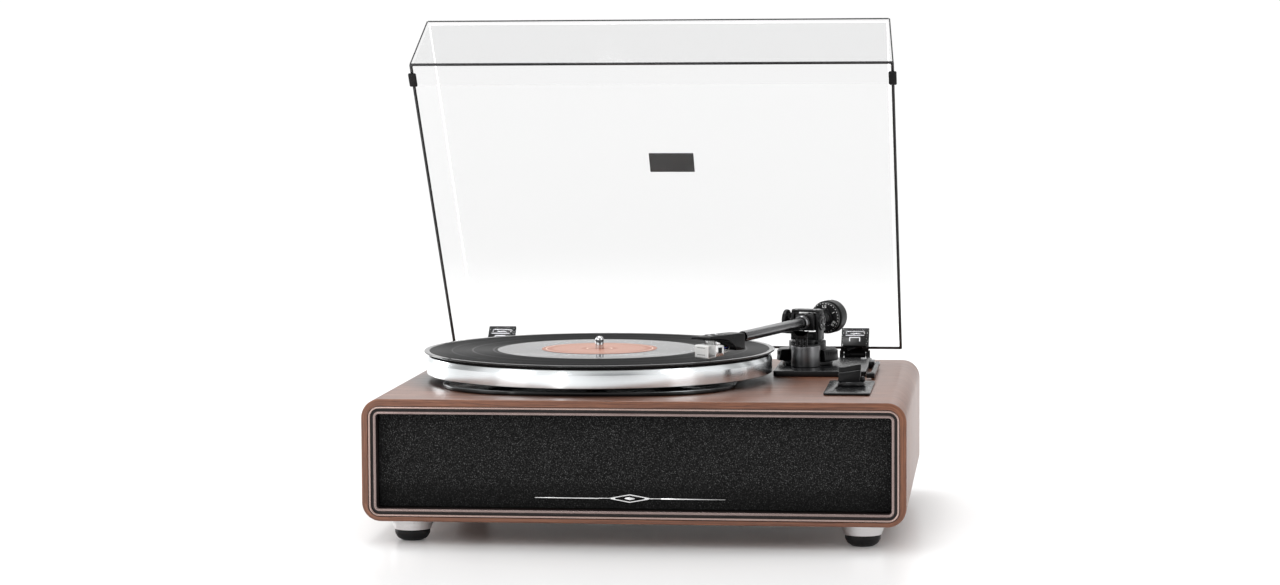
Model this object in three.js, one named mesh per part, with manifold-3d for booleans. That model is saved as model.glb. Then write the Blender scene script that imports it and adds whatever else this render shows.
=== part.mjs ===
// Turntable record player: wooden cabinet with front speakers, belt-driven platter,
// pivoted tonearm, speed selector and hinged clear lid.
// Millimetres, +Z up, +X right, the front faces -Y. The record lies in the plane z = RECORD_TOP.
import * as THREE from 'three';
import { mergeVertices } from 'three/addons/utils/BufferGeometryUtils.js';
import Module from 'manifold-3d';

const wasm = await Module();
wasm.setup();

// ---------------------------------------------------------------- driving dimensions
const GAP = 0.3;               // clearance between neighbouring pieces
const CAB_W = 442, CAB_D = 352, CAB_H = 100;   // cabinet outside
const FOOT_H = 19;             // cabinet underside above the table
const CAB_R = 15.5;            // cabinet corner radius
const WALL_TOP = 5.6, WALL_SIDE = 5.2, WALL_BOTTOM = 3.6;
const Z0 = FOOT_H, Z1 = FOOT_H + CAB_H;        // cabinet underside and top
const FRONT = -CAB_D / 2, BACK = CAB_D / 2;
const ORIGIN_Y = 21.666;       // middle of the whole object's depth with the lid open

const SPINDLE = [-48.4, 3.0];
const RECORD_R = 150.8, RECORD_TOP = 144.2, RECORD_T = 1.4;
const MAT_R = 146.5;
const PLATTER_R = 148.4, PLATTER_TOP = 140.2, PLATTER_BOTTOM = 124.6;
const RING_R = 75;             // drive ring under the platter
const PULLEY_R = 6.25;
const MOTOR = [-126.4, 81.0];

const PIVOT = [125.6, 81.0];   // tonearm's vertical axis
const ARM_YAW = 17;            // degrees, arm direction from -Y towards -X
const ARM_Z = 161.5;           // height of the arm tube's axis
const TUBE_L = 147.6, TUBE_R = 4.6;
const HEAD_OFFSET = 23;        // headshell offset angle, degrees
const HEAD_S = 5.3;            // how far the tube runs on past the head frame's origin

const HINGE_X = 162.5;         // hinge centres from the middle plane
const HINGE_AXIS = [176.0, 123.4];             // y, z of the lid's hinge axis
const LID_OPEN = 52;           // degrees of opening in the rest pose
const LID_RIM = [169.5, 129.0];                // y, z of the rear rim corner, lid open
const LID_W = 410.8, LID_L = 330.5, LID_H = 67.3, LID_T = 2.5, LID_DRAFT = 5.2;

const KNOB = [171.5, -67.0];

// ---------------------------------------------------------------- helpers
const rad = (d) => d * Math.PI / 180;

function toManifold(geometry) {
  let g = geometry.clone();
  for (const name of Object.keys(g.attributes)) if (name !== 'position') g.deleteAttribute(name);
  g = mergeVertices(g, 1e-4);
  const idx = g.index.array, keep = [];
  for (let i = 0; i < idx.length; i += 3) {
    if (idx[i] !== idx[i + 1] && idx[i + 1] !== idx[i + 2] && idx[i] !== idx[i + 2]) {
      keep.push(idx[i], idx[i + 1], idx[i + 2]);
    }
  }
  return new wasm.Manifold(new wasm.Mesh({
    numProp: 3, vertProperties: new Float32Array(g.attributes.position.array), triVerts: new Uint32Array(keep),
  }));
}

function toGeometry(solid) {
  const m = solid.getMesh();
  const g = new THREE.BufferGeometry();
  const pos = new Float32Array(m.numVert * 3);
  for (let i = 0; i < m.numVert; i++) for (let k = 0; k < 3; k++) pos[3 * i + k] = m.vertProperties[i * m.numProp + k];
  g.setAttribute('position', new THREE.BufferAttribute(pos, 3));
  g.setIndex(new THREE.BufferAttribute(new Uint32Array(m.triVerts), 1));
  g.computeVertexNormals();
  return g;
}

const union = (list) => list.reduce((a, b) => a.add(b));
const cut = (a, ...tools) => tools.reduce((s, t) => s.subtract(t), a);

// box between two corners
function box(x0, y0, z0, x1, y1, z1) {
  const g = new THREE.BoxGeometry(x1 - x0, y1 - y0, z1 - z0);
  g.translate((x0 + x1) / 2, (y0 + y1) / 2, (z0 + z1) / 2);
  return toManifold(g);
}

// solid of revolution about +Z; profile [radius, z], outer side upwards, closed or from axis to axis
function lathe(profile, segments = 24, at = [0, 0, 0]) {
  const g = new THREE.LatheGeometry(profile.map(([r, z]) => new THREE.Vector2(r, z)), segments);
  g.rotateX(Math.PI / 2);
  g.translate(at[0], at[1], at[2]);
  return toManifold(g);
}

// upright cylinder
const cyl = (r, z0, z1, x = 0, y = 0, segments = 20) =>
  lathe([[0, z0], [r, z0], [r, z1], [0, z1]], segments, [x, y, 0]);

// cylinder lying along X or Y
function cylX(r, x0, x1, y, z, segments = 16) {
  return cyl(r, x0, x1, 0, 0, segments).rotate([0, 90, 0]).translate([0, y, z]);
}
function cylY(r, y0, y1, x, z, segments = 16) {
  return cyl(r, y0, y1, 0, 0, segments).rotate([-90, 0, 0]).translate([x, 0, z]);
}

function roundedRect(x0, y0, x1, y1, r) {
  const s = new THREE.Shape();
  s.moveTo(x0 + r, y0);
  s.lineTo(x1 - r, y0); s.absarc(x1 - r, y0 + r, r, -Math.PI / 2, 0, false);
  s.lineTo(x1, y1 - r); s.absarc(x1 - r, y1 - r, r, 0, Math.PI / 2, false);
  s.lineTo(x0 + r, y1); s.absarc(x0 + r, y1 - r, r, Math.PI / 2, Math.PI, false);
  s.lineTo(x0, y0 + r); s.absarc(x0 + r, y0 + r, r, Math.PI, 1.5 * Math.PI, false);
  return s;
}

// shape in XY raised from z0 to z1
function slab(shape, z0, z1, segments = 5) {
  const g = new THREE.ExtrudeGeometry(shape, { depth: z1 - z0, bevelEnabled: false, curveSegments: segments });
  g.translate(0, 0, z0);
  return toManifold(g);
}

// shape in XZ stretched from y0 to y1
function slabY(shape, y0, y1, segments = 5) {
  const g = new THREE.ExtrudeGeometry(shape, { depth: y1 - y0, bevelEnabled: false, curveSegments: segments });
  g.rotateX(Math.PI / 2);
  g.translate(0, y1, 0);
  return toManifold(g);
}

function polygon(points) {
  const s = new THREE.Shape();
  points.forEach(([x, y], i) => (i ? s.lineTo(x, y) : s.moveTo(x, y)));
  return s;
}

const root = new THREE.Group();
root.position.set(0, -ORIGIN_Y, 0);

function part(name, solid, color, roughness = 0.5, metalness = 0, parent = root) {
  const mesh = new THREE.Mesh(toGeometry(solid), new THREE.MeshStandardMaterial({ color, roughness, metalness }));
  mesh.name = name;
  parent.add(mesh);
  return mesh;
}

const WOOD = 0x6b4436, BRONZE = 0x5a4636, BLACK = 0x17181a, CHROME = 0xd8d8da, RUBBER = 0x101011;
const ALU = 0xc9cacc, WHITE = 0xe6e6e4, STEEL = 0x9b9da0;

// ---------------------------------------------------------------- cabinet
{
  const outer = slabY(roundedRect(-CAB_W / 2, Z0, CAB_W / 2, Z1, CAB_R), FRONT, BACK, 5);
  const inner = slabY(roundedRect(-CAB_W / 2 + WALL_SIDE, Z0 + WALL_BOTTOM, CAB_W / 2 - WALL_SIDE, Z1 - WALL_TOP, 9.5), FRONT - 1, BACK + 1, 4);
  part('cabinet_shell', cut(outer, inner,
    cyl(12, Z1 - 10, Z1 + 2, ...SPINDLE, 24),
    cyl(10, Z1 - 10, Z1 + 2, ...MOTOR, 20),
    cyl(4.5, Z1 - 10, Z1 + 2, ...KNOB, 16)), WOOD, 0.45);

  // front bezel: two rounded ridges with a groove between them
  const bx = CAB_W / 2 - WALL_SIDE - GAP, bz0 = Z0 + WALL_BOTTOM + GAP, bz1 = Z1 - WALL_TOP - GAP;
  const ring = (a, b, y0, y1) => cut(
    slabY(roundedRect(-bx + a, bz0 + a, bx - a, bz1 - a, Math.max(9 - a, 1.2)), y0, y1, 3),
    slabY(roundedRect(-bx + b, bz0 + b, bx - b, bz1 - b, Math.max(9 - b, 1.0)), y0 - 1, y1 + 1, 3));
  part('front_bezel', union([ring(0, 6.6, FRONT + 2.2, FRONT + 13), ring(0, 2.0, FRONT, FRONT + 3), ring(4.0, 6.6, FRONT, FRONT + 3)]), BRONZE, 0.25, 0.6);

  const cx = bx - 6.6 - GAP, cz0 = bz0 + 6.6 + GAP, cz1 = bz1 - 6.6 - GAP;
  part('grille_cloth', slabY(roundedRect(-cx, cz0, cx, cz1, 2.6), FRONT + 10, FRONT + 12.6, 3), 0x141414, 0.95);
  part('emblem_bar', union([
    box(-79.8, FRONT + 8.4, 38.3, 75.4, FRONT + 9.6, 39.3),
    slabY(polygon([[-22, 38.8], [-10, 35.2], [5.6, 35.2], [17.6, 38.8], [5.6, 42.4], [-10, 42.4]]), FRONT + 8.0, FRONT + 9.6, 1),
  ]), CHROME, 0.25, 1);

  // speakers behind the cloth
  const by0 = FRONT + 13.4, by1 = FRONT + 22.4;
  const holes = [-128, 128].map((x) => cylY(34, by0 - 1, by1 + 1, x, 68, 28));
  part('speaker_baffle', cut(slabY(roundedRect(-bx, bz0, bx, bz1, 9), by0, by1, 3), ...holes), 0x8a6f4e, 0.8);
  for (const [name, x] of [['woofer_left', -128], ['woofer_right', 128]]) {
    const s = lathe([[0, 40], [22, 40], [22, 24], [34, 5], [41, 3], [41, 0], [33, 0], [31.6, 1.6], [29.6, 0.4], [27.6, 1.6], [10, 11], [6, 8.6], [0, 7.6]].map(([r, u]) => [r, -u]), 16);
    part(name, s.rotate([90, 0, 0]).translate([x, by1 + GAP, 68]), 0x1d1d1f, 0.7);
  }

  // rear panel with sockets and switch
  const ry0 = BACK - 10, ry1 = BACK - 5;
  part('rear_panel', cut(slabY(roundedRect(-bx, bz0, bx, bz1, 9), ry0, ry1, 3),
    box(-152, ry0 - 1, 60, -116, ry1 + 1, 76),
    cylY(5.9, ry0 - 1, ry1 + 1, 120, 68, 20),
    box(157.4, ry0 - 1, 57.4, 170.6, ry1 + 1, 78.6)), BLACK, 0.6);
  part('line_out_sockets', cut(union([
    box(-158, ry1 + GAP, 56, -110, ry1 + 2.3, 80), box(-151.6, ry0 - 4, 60.4, -116.4, ry1 + 1, 75.6),
    cylY(4.4, ry1, ry1 + 10, -143, 68), cylY(4.4, ry1, ry1 + 10, -125, 68)]),
    cylY(3.1, ry1 + 1.5, ry1 + 12, -143, 68, 12), cylY(3.1, ry1 + 1.5, ry1 + 12, -125, 68, 12)), 0xb8a25a, 0.35, 0.8);
  part('dc_inlet', cut(union([cylY(5.55, ry0 - 8, ry1 + 0.5, 120, 68, 20), cylY(8, ry1 + GAP, ry1 + 2, 120, 68, 20)]),
    cylY(3.3, ry0 - 4, ry1 + 3, 120, 68, 12)), BLACK, 0.5);
  part('switch_housing', cut(union([box(157.8, ry0 - 8, 57.8, 170.2, ry1 + 0.5, 78.2), box(155, ry1 + GAP, 55, 173, ry1 + 2, 81)]),
    box(159.2, ry0 - 6, 59.2, 168.8, ry1 + 3, 76.8)), BLACK, 0.5);
  const rocker = new THREE.Group();
  rocker.position.set(164, ry1 - 3.2, 68);
  rocker.rotation.x = rad(7);
  root.add(rocker);
  part('power_rocker', slabY(polygon([[-4.4, -7.6], [4.4, -7.6], [4.4, 7.6], [-4.4, 7.6]]), -2.6, 5.6, 1), 0x222325, 0.4, 0, rocker);

  // electronics
  part('amplifier_board', union([
    box(40, 60, 26, 170, 140, 28), box(60, 80, 27.5, 84, 116, 52), box(100, 74, 27.5, 140, 82, 46),
    cyl(6, 27.5, 46, 110, 110, 14), cyl(6, 27.5, 46, 128, 110, 14), box(146, 96, 27.5, 162, 128, 38)]), 0x2f5f3a, 0.7);

  // feet: tapered ring and rubber dome
  const footY = [-146, 146];
  for (const [sx, side] of [[-1, 'left'], [1, 'right']]) {
    footY.forEach((fy, i) => {
      const where = (i ? 'rear_' : 'front_') + side, at = [sx * 184.8, fy, 0];
      part('foot_ring_' + where, lathe([[0, 9.3], [15.2, 9.3], [15.6, 11], [17.4, 15], [19, 17.2], [19, 18.7], [0, 18.7]], 16, at), CHROME, 0.15, 1);
      part('foot_pad_' + where, lathe([[0, 0], [8.5, 0], [12.2, 2.2], [14.4, 6], [14.6, 9], [0, 9]], 16, at), RUBBER, 0.6);
    });
  }
}

// ---------------------------------------------------------------- platter drive
{
  const [sx, sy] = SPINDLE;
  part('platter_base_plate', cut(slab(roundedRect(sx - 123, -142, sx + 123, 148, 75), Z1 + GAP, Z1 + 3.2, 8),
    cyl(12, Z1 - 1, Z1 + 5, sx, sy, 24), cyl(10, Z1 - 1, Z1 + 5, ...MOTOR, 20)), 0x0d0d0e, 0.2);
  part('bearing_housing', lathe([[3.9, 74], [0, 74], [0, 70], [9, 70], [9, 122], [10.5, 123.6], [22, 123.6], [22, 124.9], [3.9, 124.9], [3.9, 74]], 16, [sx, sy, 0]), 0xa68a4a, 0.4, 0.8);
  part('spindle', lathe([[0, 74.4], [3.4, 74.4], [3.4, 126], [3.6, 127], [3.6, 151.6], [2.9, 153.8], [1.6, 154.9], [0, 155.1]], 16, [sx, sy, 0]), CHROME, 0.12, 1);
  part('platter', lathe([[3.95, 127.2], [14, 127.2], [14, 135], [71, 135], [71, 126], [RING_R, 126], [RING_R, 135], [143.5, 135], [143.5, 125.2],
    [147.6, PLATTER_BOTTOM], [PLATTER_R, 125.2], [PLATTER_R, 136.1], [146.9, PLATTER_TOP], [3.95, PLATTER_TOP], [3.95, 127.2]], 40, [sx, sy, 0]), ALU, 0.18, 1);
  part('slipmat', lathe([[3.95, 140.5], [MAT_R, 140.5], [MAT_R, 142.4], [3.95, 142.4], [3.95, 140.5]], 40, [sx, sy, 0]), 0x1a1a1a, 0.95);
  part('record', lathe([[3.95, 142.8], [RECORD_R - 0.6, 142.8], [RECORD_R, 143.4], [RECORD_R - 0.4, RECORD_TOP], [52, RECORD_TOP], [49.5, RECORD_TOP + 0.2], [3.95, RECORD_TOP + 0.2], [3.95, 142.8]], 40, [sx, sy, 0]), 0x0c0c0d, 0.25);

  const [mx, my] = MOTOR;
  part('motor', cut(union([cyl(17, 84, 108, mx, my, 18), cyl(9.5, 107, 118, mx, my, 20)]), cyl(1.9, 96, 120, mx, my, 12)), STEEL, 0.4, 0.8);
  part('motor_pulley', union([cyl(1.5, 96.4, 125, mx, my, 12),
    lathe([[0, 124.6], [7.4, 124.6], [PULLEY_R, 126], [PULLEY_R, 132], [7.4, 133.2], [0, 133.2]], 16, [mx, my, 0])]), 0xb89a4c, 0.3, 0.9);

  // belt: a flat loop round the drive ring and the pulley
  const loop = (off) => {
    const pts = [], d = Math.hypot(mx - sx, my - sy), dir = Math.atan2(my - sy, mx - sx);
    const r1 = RING_R + off, r2 = PULLEY_R + off, beta = Math.acos((r1 - r2) / d);
    for (let i = 0; i <= 24; i++) { const t = dir + beta + (2 * Math.PI - 2 * beta) * i / 24; pts.push([sx + r1 * Math.cos(t), sy + r1 * Math.sin(t)]); }
    for (let i = 0; i <= 8; i++) { const t = dir - beta + 2 * beta * i / 8; pts.push([mx + r2 * Math.cos(t), my + r2 * Math.sin(t)]); }
    return polygon(pts);
  };
  part('drive_belt', cut(slab(loop(1.3), 127, 131.4, 1), slab(loop(0.45), 126, 132, 1)), RUBBER, 0.8);
}

// ---------------------------------------------------------------- tonearm base
{
  const [px, py] = PIVOT;
  const PT = Z1 + 5.1;                    // top of the base plate
  const outline = polygon([[102.6, 20], [176.5, 20], [179.5, 23], [179.5, 139], [176.5, 142], [102.6, 142], [99.8, 139], [99.8, 23]]);
  part('tonearm_base_plate', union([slab(outline, Z1 + GAP, PT, 1),
    box(179, 90, Z1 + GAP, 183.6, 110, PT + 1.6), cylX(1.6, 183, 188.6, 100, 122.6, 12)]), BLACK, 0.45);

  const column = cyl(12.7, PT + GAP, 142.6, 125.4, 59, 20);
  const tower = union([cyl(16.2, PT + GAP, 145, px, py, 24), cyl(22, PT + GAP, 128, px, py, 24), column]);
  part('arm_tower', cut(tower, cyl(13.3, 141, 147, px, py, 20), cyl(5.1, PT - 1, 143, px, py, 16),
    box(100, 40, 142.6, 150, 68.5, 147), cyl(1.9, 127, 146, 122.6, 50.6, 12)), BLACK, 0.4);

  // anti-skate dial: ring round the tower, open at the front for the column
  const dial = lathe([[16.6, 128.4], [27, 128.4], [27, 130.6], [25.6, 138.2], [16.6, 138.2], [16.6, 128.4]], 28, [px, py, 0]);
  const a1 = rad(38), a2 = rad(-60), far = 60;
  const wedge = slab(polygon([[px, py], [px + far * Math.sin(a2), py - far * Math.cos(a2)], [px - 20, py - 70], [px + 20, py - 70], [px + far * Math.sin(a1), py - far * Math.cos(a1)]]), 120, 150, 1);
  part('anti_skate_dial', dial.subtract(wedge), 0x2a2b2d, 0.45);

  // armrest: two posts and a fork in front of the lift bar
  const fy0 = 44.8, fy1 = 47.4;
  part('armrest', union([
    cyl(1.1, 142.9, 151.5, 118.6, 49.7, 10), cyl(1.1, 142.9, 151.5, 126.6, 49.7, 10),
    box(117.4, fy0, 149.6, 119.8, 50.8, 152), box(125.4, fy0, 149.6, 127.8, 50.8, 152),
    slabY(polygon([[114.8, 156.35], [116.6, 156.35], [118, 154.2], [119.4, 152.6], [124.8, 152.6], [126.4, 154.2], [127.4, 156.35], [129.2, 156.35], [128.2, 153], [126.6, 149.6], [117.6, 149.6], [115.4, 153]]), fy0, fy1, 1),
  ]), BLACK, 0.3);

  // lift bar: an arc under the arm, on a pin that slides in the column
  const arc = [];
  for (let i = 0; i <= 10; i++) { const t = rad(1 + 54 * i / 10); arc.push([px - 32.4 * Math.sin(t), py - 32.4 * Math.cos(t)]); }
  for (let i = 10; i >= 0; i--) { const t = rad(1 + 54 * i / 10); arc.push([px - 29.4 * Math.sin(t), py - 29.4 * Math.cos(t)]); }
  part('lift_bar', union([slab(polygon(arc), 153.45, 156.35, 1), cyl(1.4, 129, 154.5, 122.6, 50.6, 12)]), BLACK, 0.4);

  // cue lever beside the base plate
  part('cue_lever', cut(union([
    box(184.2, 8, 120.4, 188, 103.4, 124.8), box(181, 0, 120.4, 188, 8, 124.8), box(180.6, 0, 120.4, 184.4, 4, 124.8)]),
    cylX(1.95, 180, 190, 100, 122.6, 12)), BLACK, 0.35);
}

// ---------------------------------------------------------------- tonearm (arm frame: +Y to the rear along the tube)
{
  const arm = new THREE.Group();
  arm.position.set(PIVOT[0], PIVOT[1], 0);
  arm.rotation.z = rad(-ARM_YAW);
  root.add(arm);
  const Z = ARM_Z;

  // yoke: turns in the tower, carries the horizontal pivots
  part('arm_yoke', cut(union([
    cyl(4.7, 130, 142, 0, 0, 16), cyl(12.8, 141.4, 146.6, 0, 0, 20),
    box(-13, -7, 146, -10, 7, 172.6), box(10, -7, 146, 13, 7, 172.6), box(-13, -7, 170, 13, 7, 172.6),
    box(-10.5, -5, 146, 10.5, 5.5, 152.4),
    cylX(7.2, 12.5, 14.8, 0, Z, 16), cylX(3.5, -17.4, -12.0, 0, Z, 14)]),
    cylX(2.5, -12.8, 13.6, 0, Z, 14)), BLACK, 0.35, 0, arm);
  part('yoke_cap', cylX(9.5, -21.4, -17.7, 0, Z + 0.8, 24), BLACK, 0.4, 0, arm);

  part('gimbal_block', cut(union([box(-9.2, -7.5, Z - 7.5, 9.2, 9, Z + 7.3), cylX(2.0, -12.4, 13.2, 0, Z, 12)]),
    cylY(TUBE_R + GAP, -9, 12, 0, Z, 16)), BLACK, 0.35, 0, arm);
  part('arm_tube', cut(cylY(TUBE_R, -TUBE_L - HEAD_S, 8, 0, Z, 20), cylY(3.85, -TUBE_L - HEAD_S - 1, 9, 0, Z, 16)), 0x1a1b1d, 0.35, 0.3, arm);
  part('tube_collar', cut(cylY(6.5, -17, -8, 0, Z, 20), cylY(TUBE_R + GAP, -18, -7, 0, Z, 16)), 0x1a1b1d, 0.35, 0.3, arm);

  // weight shaft, bush, dial and counterweight behind the pivot
  part('weight_shaft', union([cylY(4.9, 9.4, 50, 0, Z, 16), cylY(6.8, 9.3, 12, 0, Z, 16)]), 0x3a3b3d, 0.3, 0.8, arm);
  part('weight_bush', cut(cylY(7.6, 40, 58, 0, Z, 20), cylY(5.3, 39, 59, 0, Z, 16)), 0x2a2a2c, 0.5, 0, arm);
  part('force_dial', cylY(13.5, 43, 47.9, 0, Z, 20).add(lathe([[0, 0], [13.5, 0], [12, 1.6], [0, 1.6]], 20).rotate([90, 0, 0]).translate([0, 43, Z]))
    .subtract(cylY(8.0, 39, 60, 0, Z, 20)), 0x1b1c1e, 0.4, 0, arm);
  part('counterweight', cut(cylY(14.7, 48.2, 62.6, 0, Z, 24), cylY(8.0, 47, 58.4, 0, Z, 16), cylY(12.8, 52.7, 64, 0, Z, 20)), 0x26272a, 0.5, 0.2, arm);

  // headshell and cartridge (head frame: -Y along the cartridge)
  const head = new THREE.Group();
  head.position.set(0, -TUBE_L, 0);
  head.rotation.z = rad(-HEAD_OFFSET);
  arm.add(head);
  const side = (pts, x0, x1) => slabY(polygon(pts), x0, x1, 1).rotate([0, 0, -90]);   // outline in (-Y, Z), width along X
  const shell = union([
    side([[7.1, 151], [7.1, 165.2], [47, 164.8], [49, 163.6], [49, 161.2], [30, 160.4], [25, 158.6], [20.5, 155.2], [17.5, 151]], -7.6, 7.6),
  ]);
  const lift = slab(polygon([[-7, -38], [-12, -44.5], [-13.4, -50.4], [-11.2, -51], [-9.6, -47.4], [-5, -45.5]]), 161.4, 163.4, 1);
  part('headshell', union([shell, lift]), BLACK, 0.4, 0, head);
  part('cartridge_body', union([
    side([[31.5, 147.8], [31.5, 156.6], [34, 157], [41.4, 157], [41.4, 147]], -7.2, 7.2),
    box(-3.4, -40.4, 156.6, 3.4, -34.5, 160.1)]), WHITE, 0.3, 0.1, head);
  part('stylus_holder', cut(side([[41.7, 146.5], [41.7, 157.4], [50.6, 157.4], [51.4, 156.4], [51.4, 146.6], [50.6, 146.2]], -7.8, 7.8),
    box(-2.2, -47, 145, 2.2, -40, 149.5)), 0xf0f0ee, 0.3, 0, head);
  part('stylus', side([[40.4, 144.5], [40.9, 144.5], [46.4, 148.4], [46.4, 149.2], [45.6, 149.2], [40.2, 145.8]], -0.5, 0.5), STEEL, 0.3, 1, head);
}

// ---------------------------------------------------------------- speed selector
{
  const [kx, ky] = KNOB;
  part('selector_plate', cut(slab(roundedRect(151.5, -125, 189.5, -24.5, 2.5), Z1 + GAP, Z1 + 2.2, 3), cyl(4, Z1 - 1, Z1 + 4, kx, ky, 16)), BLACK, 0.4);
  const fin = (y0, y1, zl, zr, z0) => slabY(polygon([[kx - 11, z0], [kx + 7.6, z0], [kx + 8.2, zr], [kx - 10.2, zl]]), ky + y0, ky + y1, 1);
  part('speed_knob', union([
    cyl(3.1, 104, 123, kx, ky, 14),
    lathe([[0, 121.5], [11.3, 121.5], [11.3, 123.4], [9.6, 125.2], [0, 125.2]], 20, [kx, ky, 0]),
    fin(-5.2, -2.2, 132.5, 134.9, 124.6), fin(2.0, 5.0, 136.3, 139.1, 124.6), box(kx - 9.5, ky - 3, 124.6, kx + 6.5, ky + 3, 129.5),
    lathe([[0, 124.4], [1.9, 124.9], [2.3, 126.8], [1.6, 128.6], [0, 129.2]], 12, [kx + 9.4, ky - 1, 0])]), 0x1c1d1f, 0.35);
  part('speed_switch', cut(box(kx - 12, ky - 12, 98, kx + 12, ky + 12, 112.8), cyl(3.5, 102, 114, kx, ky, 14)), 0x303234, 0.6);
}

// ---------------------------------------------------------------- lid and hinges
{
  const [hy, hz] = HINGE_AXIS;
  const lid = new THREE.Group();
  lid.position.set(0, LID_RIM[0], LID_RIM[1]);
  lid.rotation.x = rad(-LID_OPEN);
  root.add(lid);

  // tapered box: rim rectangle at z = 0, smaller rectangle at z = h
  const taper = (inset, z0, z1) => {
    const g = new THREE.BoxGeometry(1, 1, 1), p = g.attributes.position;
    for (let i = 0; i < p.count; i++) {
      const z = p.getZ(i) > 0 ? z1 : z0, d = LID_DRAFT * z / LID_H + inset;
      p.setXYZ(i, (p.getX(i) > 0 ? 1 : -1) * (LID_W / 2 - d), p.getY(i) > 0 ? -d : -LID_L + d, z);
    }
    return toManifold(g);
  };
  const notch = (x) => box(x - 7.4, -6, -1, x + 7.4, 1, 8.4);
  part('lid_shell', cut(taper(0, 0, LID_H), taper(LID_T, -1, LID_H - LID_T), notch(-HINGE_X), notch(HINGE_X)), 0xdfe3e6, 0.05, 0, lid);
  part('lid_badge', box(-18, -174.5, LID_H + GAP, 22, -152.8, LID_H + 0.9), 0x4a4a4a, 0.5, 0, lid);
  for (const [name, s] of [['lid_bumper_left', -1], ['lid_bumper_right', 1]]) {
    part(name, box(s * 204 - 3.4, -321, -1.9, s * 204 + 3.4, -307, -GAP), RUBBER, 0.7, 0, lid);
  }

  // the hinge axis in the lid's own frame
  const dy = hy - LID_RIM[0], dz = hz - LID_RIM[1], c = Math.cos(rad(LID_OPEN)), s = Math.sin(rad(LID_OPEN));
  const ay = dy * c - dz * s, az = dy * s + dz * c;
  for (const [side, x] of [['left', -HINGE_X], ['right', HINGE_X]]) {
    const lean = LID_DRAFT / LID_H;
    const profile = (pts, x0, x1) => slabY(polygon(pts), x0, x1, 1).rotate([0, 0, -90]).mirror([0, 1, 0]);
    // outer leaf, web through the notch, inner plate, knuckle
    const outer = [[0.35, -0.6], [3.4, -0.6], [3.4 - 26 * lean, 26.4], [0.35 - 26.4 * lean, 26.4]];
    const inner = [[-2.85, -0.6], [-2.85 - 14 * lean, 14], [-5.0 - 14 * lean, 14], [-5.0, -0.6]];
    const leaf = union([
      extrudeX(outer, x - 12.6, x + 12.6), extrudeX(inner, x - 10.5, x + 10.5),
      box(x - 7.0, -4.4, -0.6, x + 7.0, 2.0, 8.0),
      box(x - 9.6, 2.2, az - 2.3, x + 9.6, ay, az + 3.2), cylX(3.4, x - 9.6, x + 9.6, ay, az, 16)]);
    part('hinge_leaf_' + side, leaf.subtract(cylX(1.95, x - 14, x + 14, ay, az, 12)), BLACK, 0.4, 0, lid);
    part('hinge_bracket_' + side, union([
      box(x - 13.7, 158, Z1 + GAP, x + 13.7, 171.9, Z1 + 1.5),
      box(x - 13.7, 158, Z1 + GAP, x - 10.2, 176, Z1 + 1.5), box(x + 10.2, 158, Z1 + GAP, x + 13.7, 176, Z1 + 1.5),
      ear(x - 13.7, x - 10.2, hy, hz), ear(x + 10.2, x + 13.7, hy, hz), cylX(1.6, x - 13.2, x + 13.2, hy, hz, 12)]), BLACK, 0.4);
  }
}

// outline in (y, z) stretched from x0 to x1
function extrudeX(pts, x0, x1) {
  const g = new THREE.ExtrudeGeometry(polygon(pts), { depth: x1 - x0, bevelEnabled: false });
  // (a, b, c) -> (c, a, b)
  g.applyMatrix4(new THREE.Matrix4().set(0, 0, 1, 0, 1, 0, 0, 0, 0, 1, 0, 0, 0, 0, 0, 1));
  g.translate(x0, 0, 0);
  return toManifold(g);
}

function ear(x0, x1, y, z) {
  return union([cylX(4.1, x0, x1, y, z, 18), box(x0, y - 4.1, Z1 + GAP, x1, y + 4.0, z)]);
}

export default root;
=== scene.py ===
# Turntable record player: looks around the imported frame.
import bpy
import math
from mathutils import Matrix, Vector


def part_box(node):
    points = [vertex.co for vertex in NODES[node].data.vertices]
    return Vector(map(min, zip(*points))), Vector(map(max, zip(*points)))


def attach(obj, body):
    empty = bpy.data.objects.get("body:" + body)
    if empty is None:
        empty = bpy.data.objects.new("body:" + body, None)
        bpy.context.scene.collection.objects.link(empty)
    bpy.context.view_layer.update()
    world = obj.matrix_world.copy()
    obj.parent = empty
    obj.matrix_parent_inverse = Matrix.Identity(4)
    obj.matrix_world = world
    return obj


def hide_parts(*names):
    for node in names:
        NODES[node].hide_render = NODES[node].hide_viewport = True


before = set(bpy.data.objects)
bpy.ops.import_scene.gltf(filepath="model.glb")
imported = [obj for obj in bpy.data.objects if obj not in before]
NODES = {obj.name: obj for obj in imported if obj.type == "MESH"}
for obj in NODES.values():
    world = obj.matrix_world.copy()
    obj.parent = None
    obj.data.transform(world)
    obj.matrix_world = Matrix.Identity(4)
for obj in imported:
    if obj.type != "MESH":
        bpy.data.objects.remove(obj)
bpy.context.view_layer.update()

_lo, _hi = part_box("cabinet_shell")
SY = -(_lo.y + _hi.y) / 2 * 1000          # the cabinet's middle, mm behind the row origin
G = Matrix.Scale(0.001, 4) @ Matrix.Translation((0, -SY, 0))   # cabinet frame in mm -> row frame in metres
rad = math.radians
FRONT, BACK, Z0, Z1 = -176.0, 176.0, 19.0, 119.0
SPX, SPYY = -48.4, 3.0
PX, PY, AZ = 125.6, 81.0, 161.5
A = Matrix.Translation((PX, PY, 0)) @ Matrix.Rotation(rad(-17), 4, "Z")
H = A @ Matrix.Translation((0, -147.6, 0)) @ Matrix.Rotation(rad(-23), 4, "Z")
L = Matrix.Translation((0, 169.5, 129)) @ Matrix.Rotation(rad(-52), 4, "X")
I4 = Matrix.Identity(4)


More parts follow.
